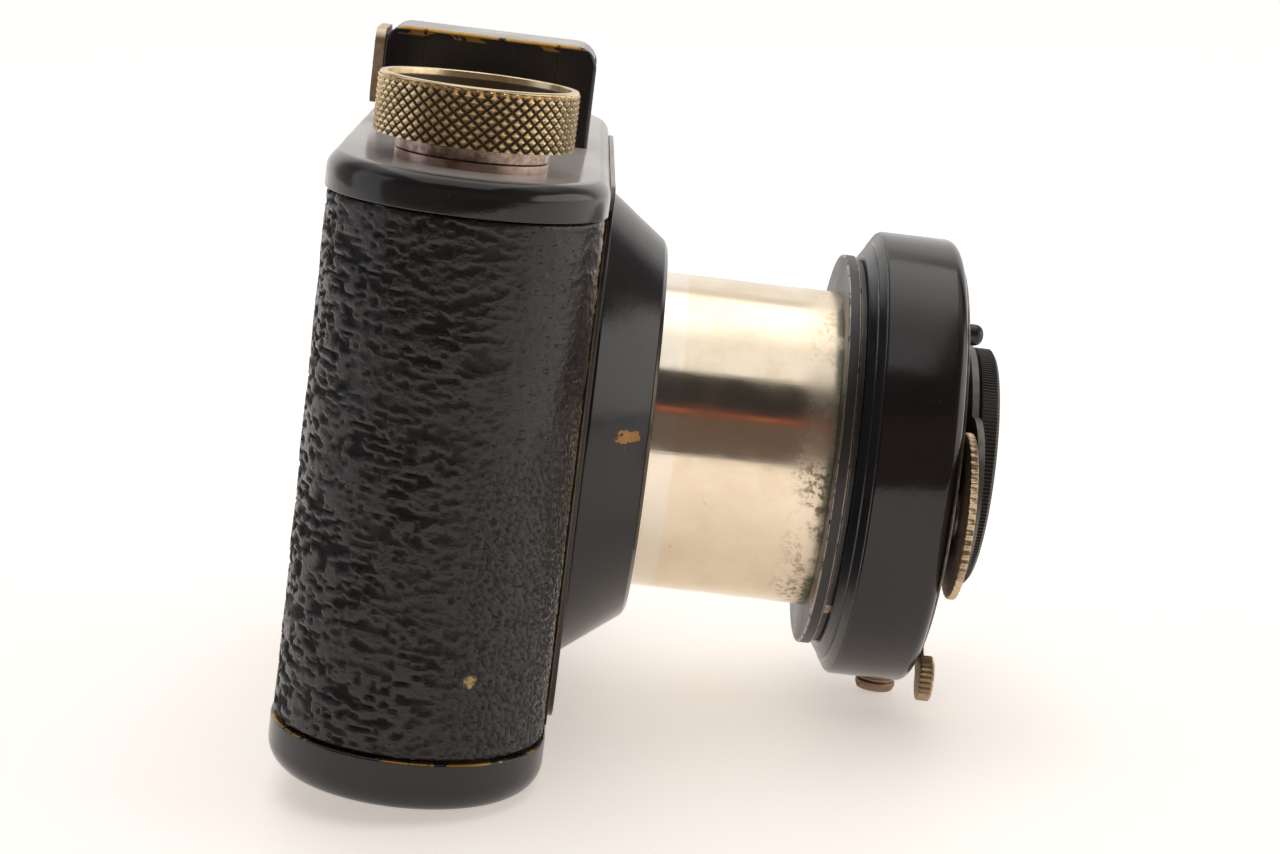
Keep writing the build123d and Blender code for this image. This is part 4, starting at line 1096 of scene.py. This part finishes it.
def arm_outline(inset):
    """Outline of the lever's arm: a bar with an eye at the pivot."""
    direction = atan2(pad_z - pivot_z, pad_x - pivot_x)
    reach = hypot(pad_x - pivot_x, pad_z - pivot_z) - 1.4 * MM
    tip_x, tip_z = pivot_x + reach * cos(direction), pivot_z + reach * sin(direction)
    eye, tip = 2.8 * MM - inset, 1.3 * MM - inset
    spread = 0.47
    points = []
    for i in range(33):
        a = direction + spread + (2 * pi - 2 * spread) * i / 32
        points.append((pivot_x + eye * cos(a), pivot_z + eye * sin(a)))
    for i in range(9):
        a = direction - pi / 2 + pi * i / 8
        points.append((tip_x + tip * cos(a), tip_z + tip * sin(a)))
    return points


def release_lever():
    """Flat arm with an eye, and a notched thumb pad at its end."""
    arm_front = lever_back + 0.6 * MM
    bm = bmesh.new()
    pad = sweep(bm, circle(NOTCHES * 8, notch), [
        (2.22 * MM, lever_back + 0.02 * MM), (2.4 * MM, lever_back + 0.18 * MM),
        (2.4 * MM, lever_front - 0.22 * MM), (2.2 * MM, lever_front),
    ], facing_front(pad_x, pad_z))
    bm.faces.new(pad[0])
    bm.faces.new(pad[-1])
    arm = sweep(bm, arm_outline, [
        (0.08 * MM, lever_back), (0, lever_back + 0.1 * MM), (0, arm_front - 0.1 * MM), (0.1 * MM, arm_front),
    ], facing_front(0, 0))
    at_pivot = facing_front(pivot_x, pivot_z)
    eye = sweep(bm, circle(48), [(EYE_RADIUS, lever_back), (EYE_RADIUS, arm_front)], at_pivot)
    fill(bm, arm[0], eye[0])
    fill(bm, arm[-1], eye[1])
    piece("release_lever_arm", bm, dial_metal, "release_lever", "release_lever")


release_lever()

socket_low, socket_high = heights("cable_socket")
socket_x, socket_y, _ = middle("cable_socket")
turned(
    "cable_release_nipple",
    [
        (1.7 * MM, socket_low, 0.1 * MM),
        (1.95 * MM, socket_low, 0.15 * MM),
        (2.15 * MM, socket_low + 0.5 * MM, 0.1 * MM),
        (2.15 * MM, socket_low + 0.95 * MM, 0.08 * MM),
        (1.92 * MM, socket_low + 1.1 * MM, 0.06 * MM),
        (1.92 * MM, socket_low + 1.35 * MM, 0.06 * MM),
        (2.15 * MM, socket_low + 1.5 * MM, 0.08 * MM),
        (2.15 * MM, socket_high, 0),
        (1.7 * MM, socket_high, 0),
    ],
    bronze, "lens_tube", "cable_socket",
    place=standing(socket_x, socket_y), steps=64,
)


# ---- stage, light and camera
def leaned(x, y, z):
    """From a frame standing square on the floor to the row frame."""
    return Vector((x, y * cos(LEAN) + z * sin(LEAN), -y * sin(LEAN) + z * cos(LEAN)))


lowest = min(
    (obj.matrix_world @ v.co).dot(UP)
    for name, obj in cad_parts.items() if name in ("bottom_cap", "cable_socket", "front_plate")
    for v in obj.data.vertices
)


def stage_floor():
    """Pale paper that stops short on the camera's side, so the top cap mirrors the dark; it glows faintly as
    painted fill light that lifts its shadows, warmer near the object as a painted warm shadow tint.
    """
    f = Finish("floor_paper")
    broad = f.noise(60 * MM, 3)
    fleck = f.ease(f.noise(1.1 * MM, 3, 0.6), 0.765, 0.80)
    patch = f.ease(f.noise(22 * MM, 3), 0.52, 0.66)
    colour = f.blend(broad, (0.93, 0.905, 0.885), (0.96, 0.945, 0.93))
    colour = f.blend(f.times(fleck, patch, 0.35), colour, (0.45, 0.30, 0.20))
    away = f.vector("LENGTH", f.spot)
    f.set(Base_Color=colour, Roughness=0.55,
          Normal=f.bump(f.noise(0.9 * MM, 3), 0.05 * MM, 0.3),
          # Painted light: the glow lifts the floor's shadows, and is warmer near the object as a painted warm
          # tint of its shadow
          Emission_Color=f.blend(f.ease(away, 0.12, 0.45), (1.0, 0.91, 0.83), (1.0, 0.985, 0.965)),
          Emission_Strength=f.ease(away, 0.10, 0.60, 0.50, 0.56))
    near_edge = -0.325

    def place(u, v, radius):
        return leaned(max(u, near_edge * min(1, radius / 0.6)), v, lowest)

    bm = bmesh.new()
    bm.faces.new(sweep(bm, circle(96), [(r, r) for r in (0.2, 0.6, 2.0, 9.0)], place)[0])
    mesh_object("floor", bm, f)


stage_floor()


def overhead_box():
    """One large soft light above the object."""
    data = bpy.data.lights.new("overhead_box", "AREA")
    data.shape = "RECTANGLE"
    data.size, data.size_y = 0.9, 0.54
    data.energy = 1.45
    data.color = (1.0, 0.985, 0.96)
    obj = bpy.data.objects.new("overhead_box", data)
    obj.location = leaned(0.035, -0.02, 0.62)
    obj.rotation_euler = (leaned(0.03, -0.02, 0.0) - obj.location).to_track_quat("-Z", "Y").to_euler()
    bpy.context.scene.collection.objects.link(obj)


overhead_box()


def surroundings():
    """A pale backdrop behind the object and a dim room on the camera's side, with a window to its left."""
    world = bpy.data.worlds.new("studio")
    bpy.context.scene.world = world
    world.use_nodes = True
    f = Finish.__new__(Finish)
    f.tree = world.node_tree
    background = f.tree.nodes["Background"]
    turn = f.add("ShaderNodeMapping")
    f.wire(f.add("ShaderNodeTexCoord").outputs["Generated"], turn.inputs["Vector"])
    turn.inputs["Rotation"].default_value = (LEAN, 0, 0)
    f.spot = turn.outputs[0]
    x, y, z = f.axis("X"), f.axis("Y"), f.axis("Z")
    far = f.ease(x, 0.55, 0.80)
    high = f.ease(z, 0.55, 0.85)
    window = f.times(f.near(x, -0.05, 0.26, 0.05), f.ease(y, 0.1, 0.4), f.ease(z, 0.75, 0.6))
    right = f.ease(y, -0.35, -0.75)
    box = f.times(f.ease(y, -0.80, -0.87), f.ease(z, -0.03, 0.03), f.ease(z, 0.55, 0.45))
    strip = f.times(f.near(z, 0.43, 0.012, 0.008), f.ease(x, -0.5, -0.7))
    low = f.ease(z, 0.42, 0.36)
    colour = f.blend(low, (0.035, 0.033, 0.033), (0.13, 0.10, 0.085))
    colour = f.blend(f.ease(z, -0.02, -0.08), colour, (0.02, 0.02, 0.02))
    colour = f.blend(right, colour, (0.11, 0.10, 0.095))
    colour = f.blend(box, colour, (1.9, 1.80, 1.70))
    colour = f.blend(window, colour, (0.72, 0.74, 0.84))
    colour = f.blend(strip, colour, (0.55, 0.16, 0.07))
    colour = f.blend(far, colour, (0.98, 0.96, 0.94))
    colour = f.blend(f.times(high, f.ease(x, -0.2, 0.3)), colour, (0.80, 0.76, 0.72))
    seen = f.add("ShaderNodeLightPath").outputs["Is Camera Ray"]
    f.wire(f.blend(seen, colour, (0.98, 0.97, 0.96)), background.inputs["Color"])
    background.inputs["Strength"].default_value = 1.0


surroundings()

# The camera stands a little above the object, off its -X end
TARGET = (-0.030, -0.023215, 0.033855)
DISTANCE = 0.272993
YAW, ELEVATION = radians(0.791), radians(11.219)
ahead = leaned(cos(YAW) * cos(ELEVATION), -sin(YAW) * cos(ELEVATION), -sin(ELEVATION))
side = ahead.cross(UP).normalized()
rise = side.cross(ahead)
lens = bpy.data.cameras.new("camera")
lens.sensor_width = 36
lens.lens = 79.71
lens.clip_start = 0.01
lens.clip_end = 50
camera = bpy.data.objects.new("camera", lens)
turn = Matrix((side, rise, -ahead)).transposed().to_4x4()
camera.matrix_world = Matrix.Translation(leaned(*TARGET) - DISTANCE * ahead) @ turn
bpy.context.scene.collection.objects.link(camera)
bpy.context.scene.camera = camera
bpy.context.scene.view_settings.view_transform = "Standard"
bpy.context.scene.view_settings.look = "None"
